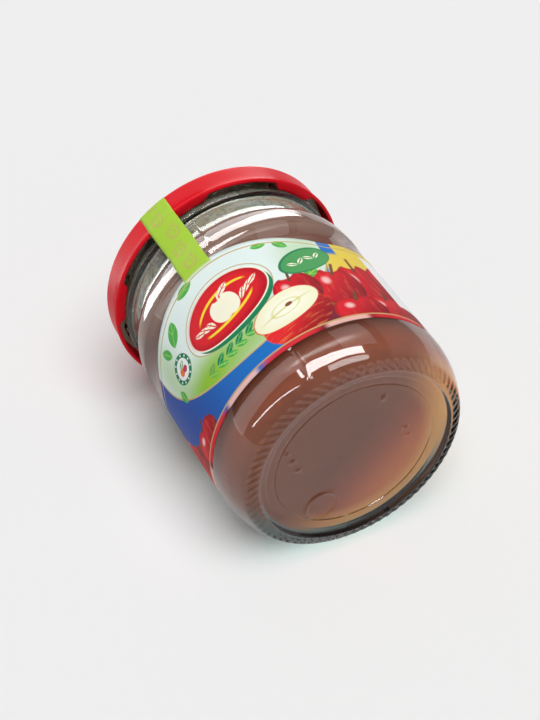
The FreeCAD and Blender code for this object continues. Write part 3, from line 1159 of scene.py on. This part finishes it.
# %% [markdown]
# ## The print
#
# The print is drawn with shapes instead of a picture, so it stays sharp at any size. Every
# shape is a mask made by a formula of the place on the paper, in millimetres: an oval, a leaf
# where two circles overlap, a whole apple, a cut apple. Each is a node group with its own
# place, size and turn, and the label's material lays them over each other like a printer's
# separate colours.

# %% Ovals and leaves
PLACE_INPUTS = [("U", FLOAT), ("V", FLOAT), ("Middle u", FLOAT), ("Middle v", FLOAT),
                ("Half width", FLOAT), ("Half height", FLOAT), ("Turn", FLOAT), ("Edge", FLOAT)]


def turned_place(g):
    """The place on the paper seen from a shape's middle and along its own axes."""
    u = g["U"] - g["Middle u"]
    v = g["V"] - g["Middle v"]
    turn_cos = g["Turn"].cosine()
    turn_sin = g["Turn"].sine()
    return u * turn_cos + v * turn_sin, v * turn_cos - u * turn_sin


def build_oval(tree, g):
    along, up = turned_place(g)
    far = ((along / g["Half width"]) ** 2.0 + (up / g["Half height"]) ** 2.0).root()
    soft = g["Edge"] / g["Half height"]
    return [far.ramp(soft + 1.0, 1.0 - soft)]


def build_leaf(tree, g):
    """The overlap of two circles, with a middle vein and slanted side veins."""
    along, up = turned_place(g)
    half = g["Half width"]
    wide = g["Half height"]
    radius = (half * half + wide * wide) / (wide * 2.0)
    centre = radius - wide
    lower = (along * along + (up + centre) ** 2.0).root()
    upper = (along * along + (up - centre) ** 2.0).root()
    mask = (radius - lower.most(upper)).ramp(g["Edge"] * -1.0, g["Edge"])
    middle = up.size().ramp(0.34, 0.08)
    ribs = ((along - up.size() * 1.3) * 230.0 / half).cosine().ramp(0.86, 0.98)
    return [mask, mask * middle.most(ribs * 0.6)]


print("ovals and leaves ready")

# %% [markdown]
# ### Fruit for the print
#
# An apple is more than a mask: its skin is darker on the far side, streaked, and shiny at
# one spot. The cut apple shows its flesh, core and one pip.

# %% Fruit
def build_apple(tree, g):
    """A whole red apple: two lobes, a dimple, a stem, a shine and a darker far side."""
    along, up = turned_place(g)
    x = along / g["Half width"]
    y = up / g["Half height"]
    lobe = (((x.size() - 0.3) / 0.7) ** 2.0 + (y / 0.95) ** 2.0).root()
    dimple = ((x / 0.34) ** 2.0 + ((y - 1.0) / 0.2) ** 2.0).root()
    body = lobe.ramp(1.03, 0.97) * dimple.ramp(0.85, 1.15)
    streak_place = join_vector(tree, along * 0.9, up * 0.16, g["Middle u"])
    streaks = add_node(tree, "ShaderNodeTexNoise", {"Vector": streak_place, "Scale": 1.0,
                                                    "Detail": 2.0})
    lit = (y * 0.5 - x * 0.6).ramp(-0.9, 0.7)
    skin = mix_colour(tree, lit, paint(122, 12, 26), paint(214, 30, 44))
    skin = mix_colour(tree, Value(tree, streaks.outputs[0]).ramp(0.5, 0.8) * 0.5, skin,
                      paint(232, 96, 72))
    rim = lobe.ramp(0.72, 1.0) * 0.45
    skin = mix_colour(tree, rim, skin, paint(96, 8, 22))
    shine = (((x + 0.36) / 0.2) ** 2.0 + ((y - 0.36) / 0.24) ** 2.0).root().ramp(1.2, 0.3)
    skin = mix_colour(tree, shine * 0.8, skin, paint(252, 214, 208))
    stem = (x - 0.02 - (y - 0.7) * 0.3).size().ramp(0.085, 0.04) * y.ramp(0.55, 0.66) \
        * y.ramp(1.3, 1.24)
    colour = mix_colour(tree, stem, skin, paint(96, 62, 38))
    return [colour, body.most(stem)]


def build_apple_outline(tree, g):
    """An apple's filled shape with its stem, in one colour."""
    return [build_apple(tree, g)[1]]


def build_cut_apple(tree, g):
    """Half an apple, cut side up: a cream oval with a fine core line, red skin under it."""
    along, up = turned_place(g)
    x = along / g["Half width"]
    y = up / g["Half height"]
    skin_far = ((x / 0.98) ** 2.0 + ((y + 0.22) / 0.86) ** 2.0).root()
    flesh_far = (x ** 2.0 + ((y - 0.3) / 0.62) ** 2.0).root()
    skin = mix_colour(tree, (x * 0.6 - y * 0.9).ramp(-0.2, 1.2), paint(226, 46, 50),
                      paint(132, 14, 28))
    streaks = add_node(tree, "ShaderNodeTexNoise", {"Scale": 0.9, "Detail": 2.0})
    plug(tree, streaks.inputs["Vector"], join_vector(tree, along * 0.2, up, g["Middle u"]))
    skin = mix_colour(tree, Value(tree, streaks.outputs[0]).ramp(0.5, 0.8) * 0.5, skin,
                      paint(240, 150, 84))
    flesh = mix_colour(tree, flesh_far.ramp(0.3, 1.0), paint(252, 250, 232),
                       paint(244, 242, 206))
    core = ((x / 0.42) ** 2.0 + ((y - 0.3) / 0.24) ** 2.0).root()
    flesh = mix_colour(tree, (core - 1.0).size().ramp(0.16, 0.04) * 0.55, flesh,
                       paint(214, 216, 104))
    line = (y - 0.3).size().ramp(0.05, 0.01) * x.size().ramp(1.0, 0.3)
    flesh = mix_colour(tree, line * 0.7, flesh, paint(206, 204, 84))
    pip = (((x - 0.12) / 0.11) ** 2.0 + ((y - 0.33) / 0.07) ** 2.0).root()
    flesh = mix_colour(tree, pip.ramp(1.1, 0.85), flesh, paint(128, 74, 40))
    colour = mix_colour(tree, flesh_far.ramp(0.99, 0.95), skin, flesh)
    return [colour, skin_far.ramp(1.02, 0.98).most(flesh_far.ramp(1.02, 0.98))]


print("fruit ready")

# %% [markdown]
# Each formula becomes one node group, so that a shape used many times is built once.

# %% Groups for the shapes
OVAL = shader_group("oval", PLACE_INPUTS, [("Mask", FLOAT)], build_oval)
LEAF = shader_group("leaf", PLACE_INPUTS, [("Mask", FLOAT), ("Veins", FLOAT)], build_leaf)
APPLE = shader_group("whole_apple", PLACE_INPUTS, [("Colour", COLOUR), ("Mask", FLOAT)],
                     build_apple)
APPLE_OUTLINE = shader_group("apple_outline", PLACE_INPUTS, [("Mask", FLOAT)],
                             build_apple_outline)
CUT_APPLE = shader_group("cut_apple", PLACE_INPUTS, [("Colour", COLOUR), ("Mask", FLOAT)],
                         build_cut_apple)
print("print shapes ready")

# %% [markdown]
# ### Laying out the label
#
# The layout goes from the back forward: coloured fields first, then fruit, the pale shield
# with its sash, the leaves, and last the plain red medallion. It carries no lettering: the
# medallion, the badge and the green plaque hold only fruit, leaves, dots and lines.

# %% The inks
MINT = paint(228, 241, 238)
LIME = paint(166, 204, 68)
LEAF_GREEN = paint(74, 168, 74)
DEEP_GREEN = paint(24, 118, 78)
PLAQUE_GREEN = paint(72, 150, 86)
SASH_BLUE = paint(34, 112, 192)
SASH_DEEP = paint(34, 72, 156)
MEDAL_RED = paint(214, 36, 46)
MEDAL_DARK = paint(176, 20, 36)
CREAM = paint(250, 246, 222)
YELLOW = paint(232, 206, 84)
SUN_YELLOW = paint(248, 216, 62)
PLUM = paint(112, 26, 44)
GOLD = paint(196, 170, 112)
WHITE = paint(240, 242, 242)
STRIP_LINE = paint(196, 158, 110)


print("inks ready")

# %% [markdown]
# ### The press
#
# A press lays one shape after another over the ground colour. It leaves out the shapes that
# do not come into its tile, because a material with all of them would be too large.

# %% The press
class Press:
    """Prints one tile of the label: shapes go on over what is already printed."""

    def __init__(self, tree, u, v, ground, window=None):
        self.tree = tree
        self.u = u
        self.v = v
        self.colour = ground
        self.window = window

    def reaches(self, middle, half):
        """Whether a shape comes into this tile at all."""
        if self.window is None:
            return True
        reach = max(half) * 1.35 + 0.5
        return self.window[0] - reach < middle[0] < self.window[1] + reach

    def mask(self, group, middle, half, turn=0.0, edge=0.12):
        return use_group(self.tree, group, u=self.u, v=self.v, middle_u=middle[0],
                         middle_v=middle[1], half_width=half[0], half_height=half[1],
                         turn=turn, edge=edge)

    def ink(self, colour, share):
        self.colour = mix_colour(self.tree, share, self.colour, colour)

    def oval(self, colour, middle, half, turn=0.0, edge=0.12, share=1.0):
        if self.reaches(middle, half):
            self.ink(colour, self.mask(OVAL, middle, half, turn, edge) * share)

    def ring(self, colour, middle, half, width, turn=0.0):
        if not self.reaches(middle, half):
            return
        outer = self.mask(OVAL, middle, half, turn)
        inner = self.mask(OVAL, middle, (half[0] - width, half[1] - width), turn)
        self.ink(colour, (outer - inner).most(0.0))

    def leaf(self, colour, vein, middle, half, turn, share=1.0):
        if not self.reaches(middle, half):
            return
        mask, veins = self.mask(LEAF, middle, half, turn)
        self.ink(colour, mask * share)
        self.ink(vein, veins * share)

    def fruit(self, group, middle, half, turn=0.0):
        if not self.reaches(middle, half):
            return
        colour, mask = self.mask(group, middle, half, turn)
        self.ink(colour, mask)


print("press ready")

# %% [markdown]
# ### Fields and shield
#
# The fields come first, with the lined panels round the back that stand for small print.
# The shield is an oval on a slightly larger gold one, with the blue sash behind both.

# %% Fields, back and shield
def print_back(press):
    """The fields behind the shield and round the back of the jar."""
    u = press.u
    v = press.v
    around = u.size()
    press.ink(PLUM, v.ramp(31.0, 24.0) * around.ramp(100.0, 90.0))
    press.ink(SASH_BLUE, (around - 39.0).size().ramp(5.4, 5.2) * v.ramp(50.0, 52.0))
    for side in (-1, 1):
        press.fruit(APPLE, (side * 62.0, 36.0), (12.0, 12.0), side * -9.0)
        press.fruit(APPLE, (side * 47.5, 34.0), (9.5, 11.5), side * 12.0)
    press.fruit(APPLE, (-52.0, 21.0), (9.5, 6.5), -6.0)
    press.fruit(APPLE, (50.0, 22.0), (10.0, 7.0), 5.0)
    if press.window[0] < 50.0 and press.window[1] > -50.0:
        return
    panel = (around - 79.0).size().ramp(23.2, 22.9) * (v - 40.0).size().ramp(14.2, 13.9)
    press.ink(WHITE, panel)
    lines = ((v - 40.0) * 360.0 / 2.6).cosine().ramp(0.55, 0.75)
    ends = (around - 81.0).size().ramp(16.2, 15.8)
    press.ink(paint(150, 156, 160), panel * lines * ends * (v - 39.0).size().ramp(10.4, 10.2))
    for number, turn in enumerate((-30.0, 18.0, 64.0)):
        middle = (-119.0 + number * 6.5, 30.0 + number * 9.0)
        press.leaf(LEAF_GREEN, DEEP_GREEN, middle, (6.0, 2.8), turn)
        press.fruit(APPLE, (108.0 + number * 9.0, 46.0 - number * 10.0), (6.5, 6.5), turn * 0.3)


def print_shield(press):
    """The pale shield at the front, its blue sash and the green light behind it."""
    if not press.reaches((0.0, 50.0), (40.0, 30.0)):
        return
    sash = press.mask(OVAL, (-8.0, 51.5), (46.0, 35.5), 0.0, 0.15)
    press.ink(SASH_BLUE, sash)
    press.ink(SASH_DEEP, sash * press.u.ramp(4.0, -40.0))
    press.ink(GOLD, sash * press.mask(OVAL, (0.5, 57.5), (39.6, 33.6), 0.0, 0.1))
    shield = press.mask(OVAL, (0.5, 57.5), (39.0, 33.0), 0.0, 0.1)
    press.ink(MINT, shield)
    glow = [((-18.0, 30.0), (20.0, 9.0), 1.0), ((12.0, 30.0), (20.0, 8.0), 0.7),
            ((-31.0, 47.0), (6.0, 14.0), 0.45), ((33.0, 52.0), (8.0, 9.0), 0.45)]
    for middle, half, share in glow:
        if not press.reaches(middle, (half[0] * 1.5, 0.0)):
            continue
        soft = press.mask(OVAL, middle, half, 0.0, half[1] * 0.85)
        press.ink(paint(142, 190, 56), soft * shield * share)


print("fields ready")

# %% [markdown]
# ### Leaves, fruit and the medallion
#
# The garland is one pair of leaves, repeated by wrapping the place on the paper. The sprigs
# beside the medallion's apple are mirrored, so three leaves make six.

# %% Leaves, fruit and medallion
def print_leaves(press):
    sprigs = [((-20.0, 57.0), (4.6, 2.6), 62.0), ((-27.0, 55.5), (3.4, 1.7), 118.0),
              ((-7.5, 64.6), (3.8, 1.9), 10.0), ((20.5, 61.5), (2.6, 1.3), -8.0),
              ((27.0, 59.0), (2.8, 1.5), -46.0), ((-31.5, 39.5), (3.0, 1.5), 96.0)]
    for middle, half, turn in sprigs:
        press.leaf(LEAF_GREEN, paint(132, 200, 96), middle, half, turn)
    if not press.reaches((0.0, 30.0), (17.0, 3.0)):
        return
    step = 4.4
    number = ((press.u + 17.0) / step).floored()
    bend = (press.u / 16.0) ** 2.0 * 1.6 + press.u * 0.1
    garland = Press(press.tree, (press.u + 17.0).wrapped(0.0, step), press.v - bend, press.colour)
    garland.leaf(DEEP_GREEN, paint(96, 176, 104), (2.2, 32.3), (2.5, 1.15), 32.0)
    garland.leaf(LEAF_GREEN, paint(150, 206, 110), (2.2, 30.1), (2.5, 1.05), -28.0)
    ends = number.ramp(-0.5, 0.5) * number.ramp(7.5, 6.5)
    press.colour = mix_colour(press.tree, ends, press.colour, garland.colour)


def print_fruit(press):
    press.fruit(APPLE, (35.5, 33.5), (8.8, 9.4), -6.0)
    press.leaf(LEAF_GREEN, LIME, (29.0, 41.6), (4.2, 1.8), 28.0)
    press.fruit(APPLE, (22.5, 36.5), (7.6, 7.8), 6.0)
    press.fruit(CUT_APPLE, (16.5, 28.6), (12.4, 10.6), 14.0)
    press.fruit(APPLE, (37.5, 21.4), (9.6, 6.6), 4.0)
    press.fruit(APPLE, (-33.5, 21.0), (9.0, 5.6), -4.0)


def print_medallion(press):
    """A plain red oval with gold and cream edges, an apple sprig and two yellow curves."""
    middle = (0.5, 47.0)
    turn = 9.0
    if not press.reaches(middle, (15.0, 12.0)):
        return
    press.oval(GOLD, middle, (18.4, 12.6), turn)
    press.oval(MINT, middle, (18.0, 12.2), turn)
    press.oval(DEEP_GREEN, (middle[0] + 0.8, middle[1] - 1.8), (16.8, 11.2), turn)
    press.oval(CREAM, middle, (17.0, 11.2), turn)
    press.oval(MEDAL_DARK, middle, (16.5, 10.7), turn)
    press.oval(MEDAL_RED, (middle[0] - 0.8, middle[1] + 0.6), (15.2, 9.7), turn, 1.4)
    for side in (1, -1):
        curve_middle = (middle[0] + side * 1.0, middle[1] - side * 1.2)
        curve = press.mask(OVAL, curve_middle, (13.4, 8.0), turn, 0.1) \
            - press.mask(OVAL, (curve_middle[0] + side * 0.2, curve_middle[1] - side * 0.9),
                         (13.6, 7.8), turn, 0.1)
        press.ink(SUN_YELLOW, curve.most(0.0) * (press.u - middle[0]).size().ramp(11.0, 9.0))
    apple_mask = press.mask(APPLE_OUTLINE, (middle[0], middle[1] - 0.6), (5.4, 5.2), turn)
    press.ink(CREAM, apple_mask)
    press.leaf(CREAM, MEDAL_RED, (middle[0] + 2.4, middle[1] + 6.2), (2.9, 1.2), 36.0)
    half_print = Press(press.tree, (press.u - middle[0]).size(),
                       press.v - (press.u - middle[0]) * math.tan(math.radians(turn)),
                       press.colour)
    for number in range(3):
        spot = (7.0 + 2.5 * number, middle[1] - 1.4 + number)
        half_print.leaf(CREAM, MEDAL_RED, spot, (2.4, 0.95), 60.0 - 14.0 * number)
    press.colour = half_print.colour


print("leaves, fruit and medallion ready")

# %% [markdown]
# ### Badge, plaque and strip
#
# The small badge and the plaque are generic, and the strip carries a row of outlined fruit.

# %% Badge, plaque and strip
def print_badges(press):
    badge = (-24.5, 45.0)
    plaque = (31.0, 49.0)
    if press.reaches(badge, (5.0, 5.4)):
        print_badge(press, badge)
    if press.reaches(plaque, (9.8, 5.6)):
        print_plaque(press, plaque)


def print_badge(press, badge):
    """A green ring with a dotted edge and a little fruit in it."""
    press.oval(WHITE, badge, (5.0, 5.4))
    press.ring(DEEP_GREEN, badge, (5.0, 5.4), 1.5)
    side = (press.u - badge[0]) / 4.25
    up = (press.v - badge[1]) / 4.65
    round_badge = side.math("ARCTAN2", up, side) * (12 * 0.5)
    dots = round_badge.sine_of_radians().size().ramp(0.5, 0.3)
    press.ink(WHITE, dots * ((side * side + up * up).root() - 1.0).size().ramp(0.1, 0.05))
    press.oval(paint(226, 120, 60), (badge[0] - 0.9, badge[1] - 0.6), (1.3, 1.5))
    press.oval(paint(190, 60, 90), (badge[0] + 1.0, badge[1] - 0.9), (1.2, 1.2))
    press.leaf(LEAF_GREEN, WHITE, (badge[0] + 0.4, badge[1] + 1.5), (1.9, 0.9), 24.0)


def print_plaque(press, plaque):
    """A green plaque with a sprig of leaves."""
    press.oval(DEEP_GREEN, plaque, (9.8, 5.6), 14.0)
    press.oval(PLAQUE_GREEN, (plaque[0] + 0.3, plaque[1] - 0.1), (9.2, 5.0), 14.0)
    for number in range(4):
        spot = (plaque[0] - 4.8 + 3.2 * number, plaque[1] - 1.0 + 0.8 * number)
        press.leaf(CREAM, PLAQUE_GREEN, spot, (1.9, 0.8), 50.0 if number % 2 else -20.0)


def print_strip(press, top_gap):
    """Outlined fruit along the lime strip, one after another."""
    step = 8.2
    past_top = top_gap * -1.0
    number = (past_top / step).floored()
    shifted = Press(press.tree, press.u + (number * 137.0).sine() * 1.1,
                    past_top.wrapped(0.0, step), press.colour)
    shifted.ring(STRIP_LINE, (0.0, 3.6), (2.4, 2.7), 0.45)
    shifted.ring(STRIP_LINE, (-0.3, 3.4), (1.4, 1.5), 0.35)
    shifted.leaf(STRIP_LINE, LIME, (1.6, 6.6), (1.5, 0.6), 40.0)
    on_strip = top_gap.ramp(-0.5, -1.5) * press.u.size().ramp(5.4, 5.0) * 0.7
    press.colour = mix_colour(press.tree, on_strip, press.colour, shifted.colour)


print("badge, plaque and strip ready")

# %% [markdown]
# ### Printing in tiles
#
# One material for the whole print would need more nodes than a renderer can hold at once.
# The paper is therefore printed in tiles side by side, which meet without a visible line.

# %% The finish of one tile
TILE_EDGES = [-HALF_ROUND, -50.0, -21.0, -STRIP_HALF, STRIP_HALF, 21.0, 50.0,
              HALF_ROUND + OVERLAP]


def label_material(name, window, on_tongue):
    """The print of one tile of the paper, or of the tongue that seals the lid."""
    material, tree, shader = new_material(name)
    attribute = add_node(tree, "ShaderNodeAttribute", attribute_name="print_mm")
    u, v, top_gap = split_vector(tree, Value(tree, attribute.outputs["Vector"]))
    press = Press(tree, u, v, LIME if on_tongue else YELLOW, window)
    if not on_tongue:
        print_back(press)
        print_shield(press)
        print_leaves(press)
        print_fruit(press)
        print_badges(press)
        print_medallion(press)
        edge = v.ramp(18.35, 18.15) * 0.9
        press.ink(paint(214, 52, 62), edge * (u * 9.0).sine().ramp(-0.4, 0.4))
        press.ink(paint(240, 190, 180), edge * (u * 9.0).sine().ramp(-0.2, -0.6))
        press.ink(GOLD, (v - 18.55).size().ramp(0.32, 0.22))
        press.ink(GOLD, (top_gap - 2.3).size().ramp(0.30, 0.20))
        press.ink(LIME, top_gap.ramp(2.4, 0.6) * u.size().ramp(6.2, 5.4))
    else:
        print_strip(press, top_gap)
    plug(tree, shader.inputs["Base Color"], press.colour)
    shader.inputs["Roughness"].default_value = 0.5
    shader.inputs["Specular IOR Level"].default_value = 0.08
    fibres = add_node(tree, "ShaderNodeTexNoise", {"Vector": object_place(tree),
                                                   "Scale": 1400.0, "Detail": 2.0})
    add_bump(tree, shader, Value(tree, fibres.outputs[0]), 0.00003, 0.35)
    return material


print("tile finish ready")

# %% [markdown]
# Solidify gives the sheet its thickness, outward from the glass.

# %% Wrap the label
def wrap_label():
    mesh = sheet_mesh()
    mesh.transform(LAY_DOWN)
    sheet = bpy.data.objects.new("label_sheet", mesh)
    scene.collection.objects.link(sheet)
    for number, window in enumerate(zip(TILE_EDGES, TILE_EDGES[1:])):
        mesh.materials.append(label_material("printed_paper_%d" % (number + 1), window, False))
    mesh.materials.append(label_material("printed_strip", None, True))
    thick = sheet.modifiers.new("paper thickness", "SOLIDIFY")
    thick.thickness = PAPER * MILLIMETRE
    thick.offset = 1.0
    graph = bpy.context.evaluated_depsgraph_get()
    solid = bpy.data.meshes.new_from_object(sheet.evaluated_get(graph), depsgraph=graph)
    sheet.modifiers.remove(thick)
    sheet.data = solid
    for face in solid.polygons:
        face.use_smooth = True
    print("label_sheet", len(solid.polygons), "faces", [a.name for a in solid.attributes])
    return sheet


label = wrap_label()
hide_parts("label")
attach(label, "root")

# %% [markdown]
# ## Windows that only glass can see
#
# Glass shows its shape by what it mirrors, so bright windows are needed round the jar, but
# lamps at those places would also throw their own shadows on the table. Here they are painted
# on the sky, and only mirrored rays meet them. A window lies between two values of x, from the
# lid's side to the base's, and between two angles round the jar, zero being straight up.

# %% Windows
# x from and to, angle from and to, brightness, soft edge, lean and taper.
WINDOW_PLACES = [
    # Two highlights on the heel and a thin line beside them.
    (-0.13, 0.05, -30.0, 24.0, 20.0, 0.015, 0.0, 0.0014),
    (0.11, 0.22, -32.0, 2.0, 8.0, 0.015, 0.0, 0.0),
    (0.268, 0.282, 30.0, 80.0, 18.0, 0.008, -0.0041, 0.0),
    # Three faint ones, which give the body and the shoulder a sheen.
    (-0.50, -0.17, 14.0, 92.0, 1.5, 0.01, 0.0, 0.0),
    (-0.58, -0.12, -44.0, -16.0, 1.0, 0.01, 0.0, 0.0),
    (-0.60, 0.50, -100.0, -54.0, 0.3, 0.05, 0.0, 0.0),
    # The long streak on the shoulder, and a broad glow in the neck.
    (-0.87, -0.762, -84.0, 132.0, 9.0, 0.010, -0.0002, 0.0),
    (-1.10, -0.80, -96.0, 96.0, 2.8, 0.05, 0.0, 0.0),
]


def window(x, angle, x_low, x_high, angle_low, angle_high, brightness, edge, lean, taper):
    """A soft-edged window. lean and taper shift its sides in x for each degree of angle."""
    low_side = x - angle * (lean - taper)
    high_side = x - angle * lean
    inside = low_side.ramp(x_low - edge, x_low) * high_side.ramp(x_high + edge, x_high)
    inside = inside * angle.ramp(angle_low - 60.0 * edge, angle_low)
    return inside * angle.ramp(angle_high + 60.0 * edge, angle_high) * brightness


def build_windows(tree, given_values):
    x, y, z = split_vector(tree, given_values["Way"])
    angle = z.math("ARCTAN2", y * -1.0, z) * math.degrees(1.0)
    return [sum(window(x, angle, *numbers) for numbers in WINDOW_PLACES)]


WINDOWS = shader_group("windows", [("Way", VECTOR)], [("Brightness", FLOAT)], build_windows)


def mirrored_windows(tree, way):
    """The windows' brightness, for rays mirrored by a surface only."""
    light_path = tree.nodes.new("ShaderNodeLightPath")
    return use_group(tree, WINDOWS, way=way) * Value(tree, light_path.outputs["Is Glossy Ray"])


print("windows ready")

# %% [markdown]
# ## The table and the light
#
# The jar lies on a plain pale table, so large that its edge is never in view. The table's
# own colour makes the pale background. A wide sun high on the base's side gives most of the
# light, and its soft edges give the short soft shadow. An even sky fills in the rest.

# %% The table
TABLE_REACH = 6.0
TABLE_GREY = 0.863
NECK_SPOT = (-0.024, -0.036, 0.055)


def make_table():
    mesh = bpy.data.meshes.new("table")
    corners = [(-TABLE_REACH, -TABLE_REACH, 0), (TABLE_REACH, -TABLE_REACH, 0),
               (TABLE_REACH, TABLE_REACH, 0), (-TABLE_REACH, TABLE_REACH, 0)]
    mesh.from_pydata(corners, [], [(0, 1, 2, 3)])
    table = bpy.data.objects.new("table", mesh)
    scene.collection.objects.link(table)
    material, tree, shader = new_material("pale_table")
    shader.inputs["Base Color"].default_value = (TABLE_GREY, TABLE_GREY, TABLE_GREY, 1.0)
    shader.inputs["Roughness"].default_value = 1.0
    shader.inputs["Specular IOR Level"].default_value = 0.0
    # The lowest window reaches below the skyline, so the table carries that part of it.
    spot = Value(tree, tree.nodes.new("ShaderNodeNewGeometry").outputs["Position"])
    from_neck = add_node(tree, "ShaderNodeVectorMath", {0: spot, 1: NECK_SPOT},
                         operation="SUBTRACT")
    way = add_node(tree, "ShaderNodeVectorMath", {0: Value(tree, from_neck.outputs[0])},
                   operation="NORMALIZE")
    shader.inputs["Emission Strength"].default_value = 1.0
    plug(tree, shader.inputs["Emission Color"],
         mirrored_windows(tree, Value(tree, way.outputs[0])))
    mesh.materials.append(material)
    return table


make_table()
print("table ready")

# %% [markdown]
# ### Sun and sky
#
# The sun is hidden from mirrored and bent rays, or its wide disc would show in the glass. The
# sky is an even white, with the windows added for mirrored rays.

# %% Sun and sky
SKY = 0.17
SUN_SHARE = 0.83
SUN_SPREAD = 45.0
sun_from = Vector((0.35, -0.05, 0.93)).normalized()
scene.view_settings.view_transform = "Standard"

sun_data = bpy.data.lights.new("sun", "SUN")
sun = bpy.data.objects.new("sun", sun_data)
scene.collection.objects.link(sun)
sun.matrix_world = sun_from.to_track_quat("Z", "Y").to_matrix().to_4x4()
sun_data.energy = SUN_SHARE * math.pi / sun_from.z
sun_data.angle = math.radians(SUN_SPREAD)
sun.visible_glossy = False
sun.visible_transmission = False

world = bpy.data.worlds.new("sky")
world.use_nodes = True
scene.world = world
sky_tree = world.node_tree
background = sky_tree.nodes["Background"]
background.inputs["Strength"].default_value = 1.0
sky_way = Value(sky_tree, sky_tree.nodes.new("ShaderNodeTexCoord").outputs["Generated"])
plug(sky_tree, background.inputs["Color"], mirrored_windows(sky_tree, sky_way) + SKY)
print("light ready")
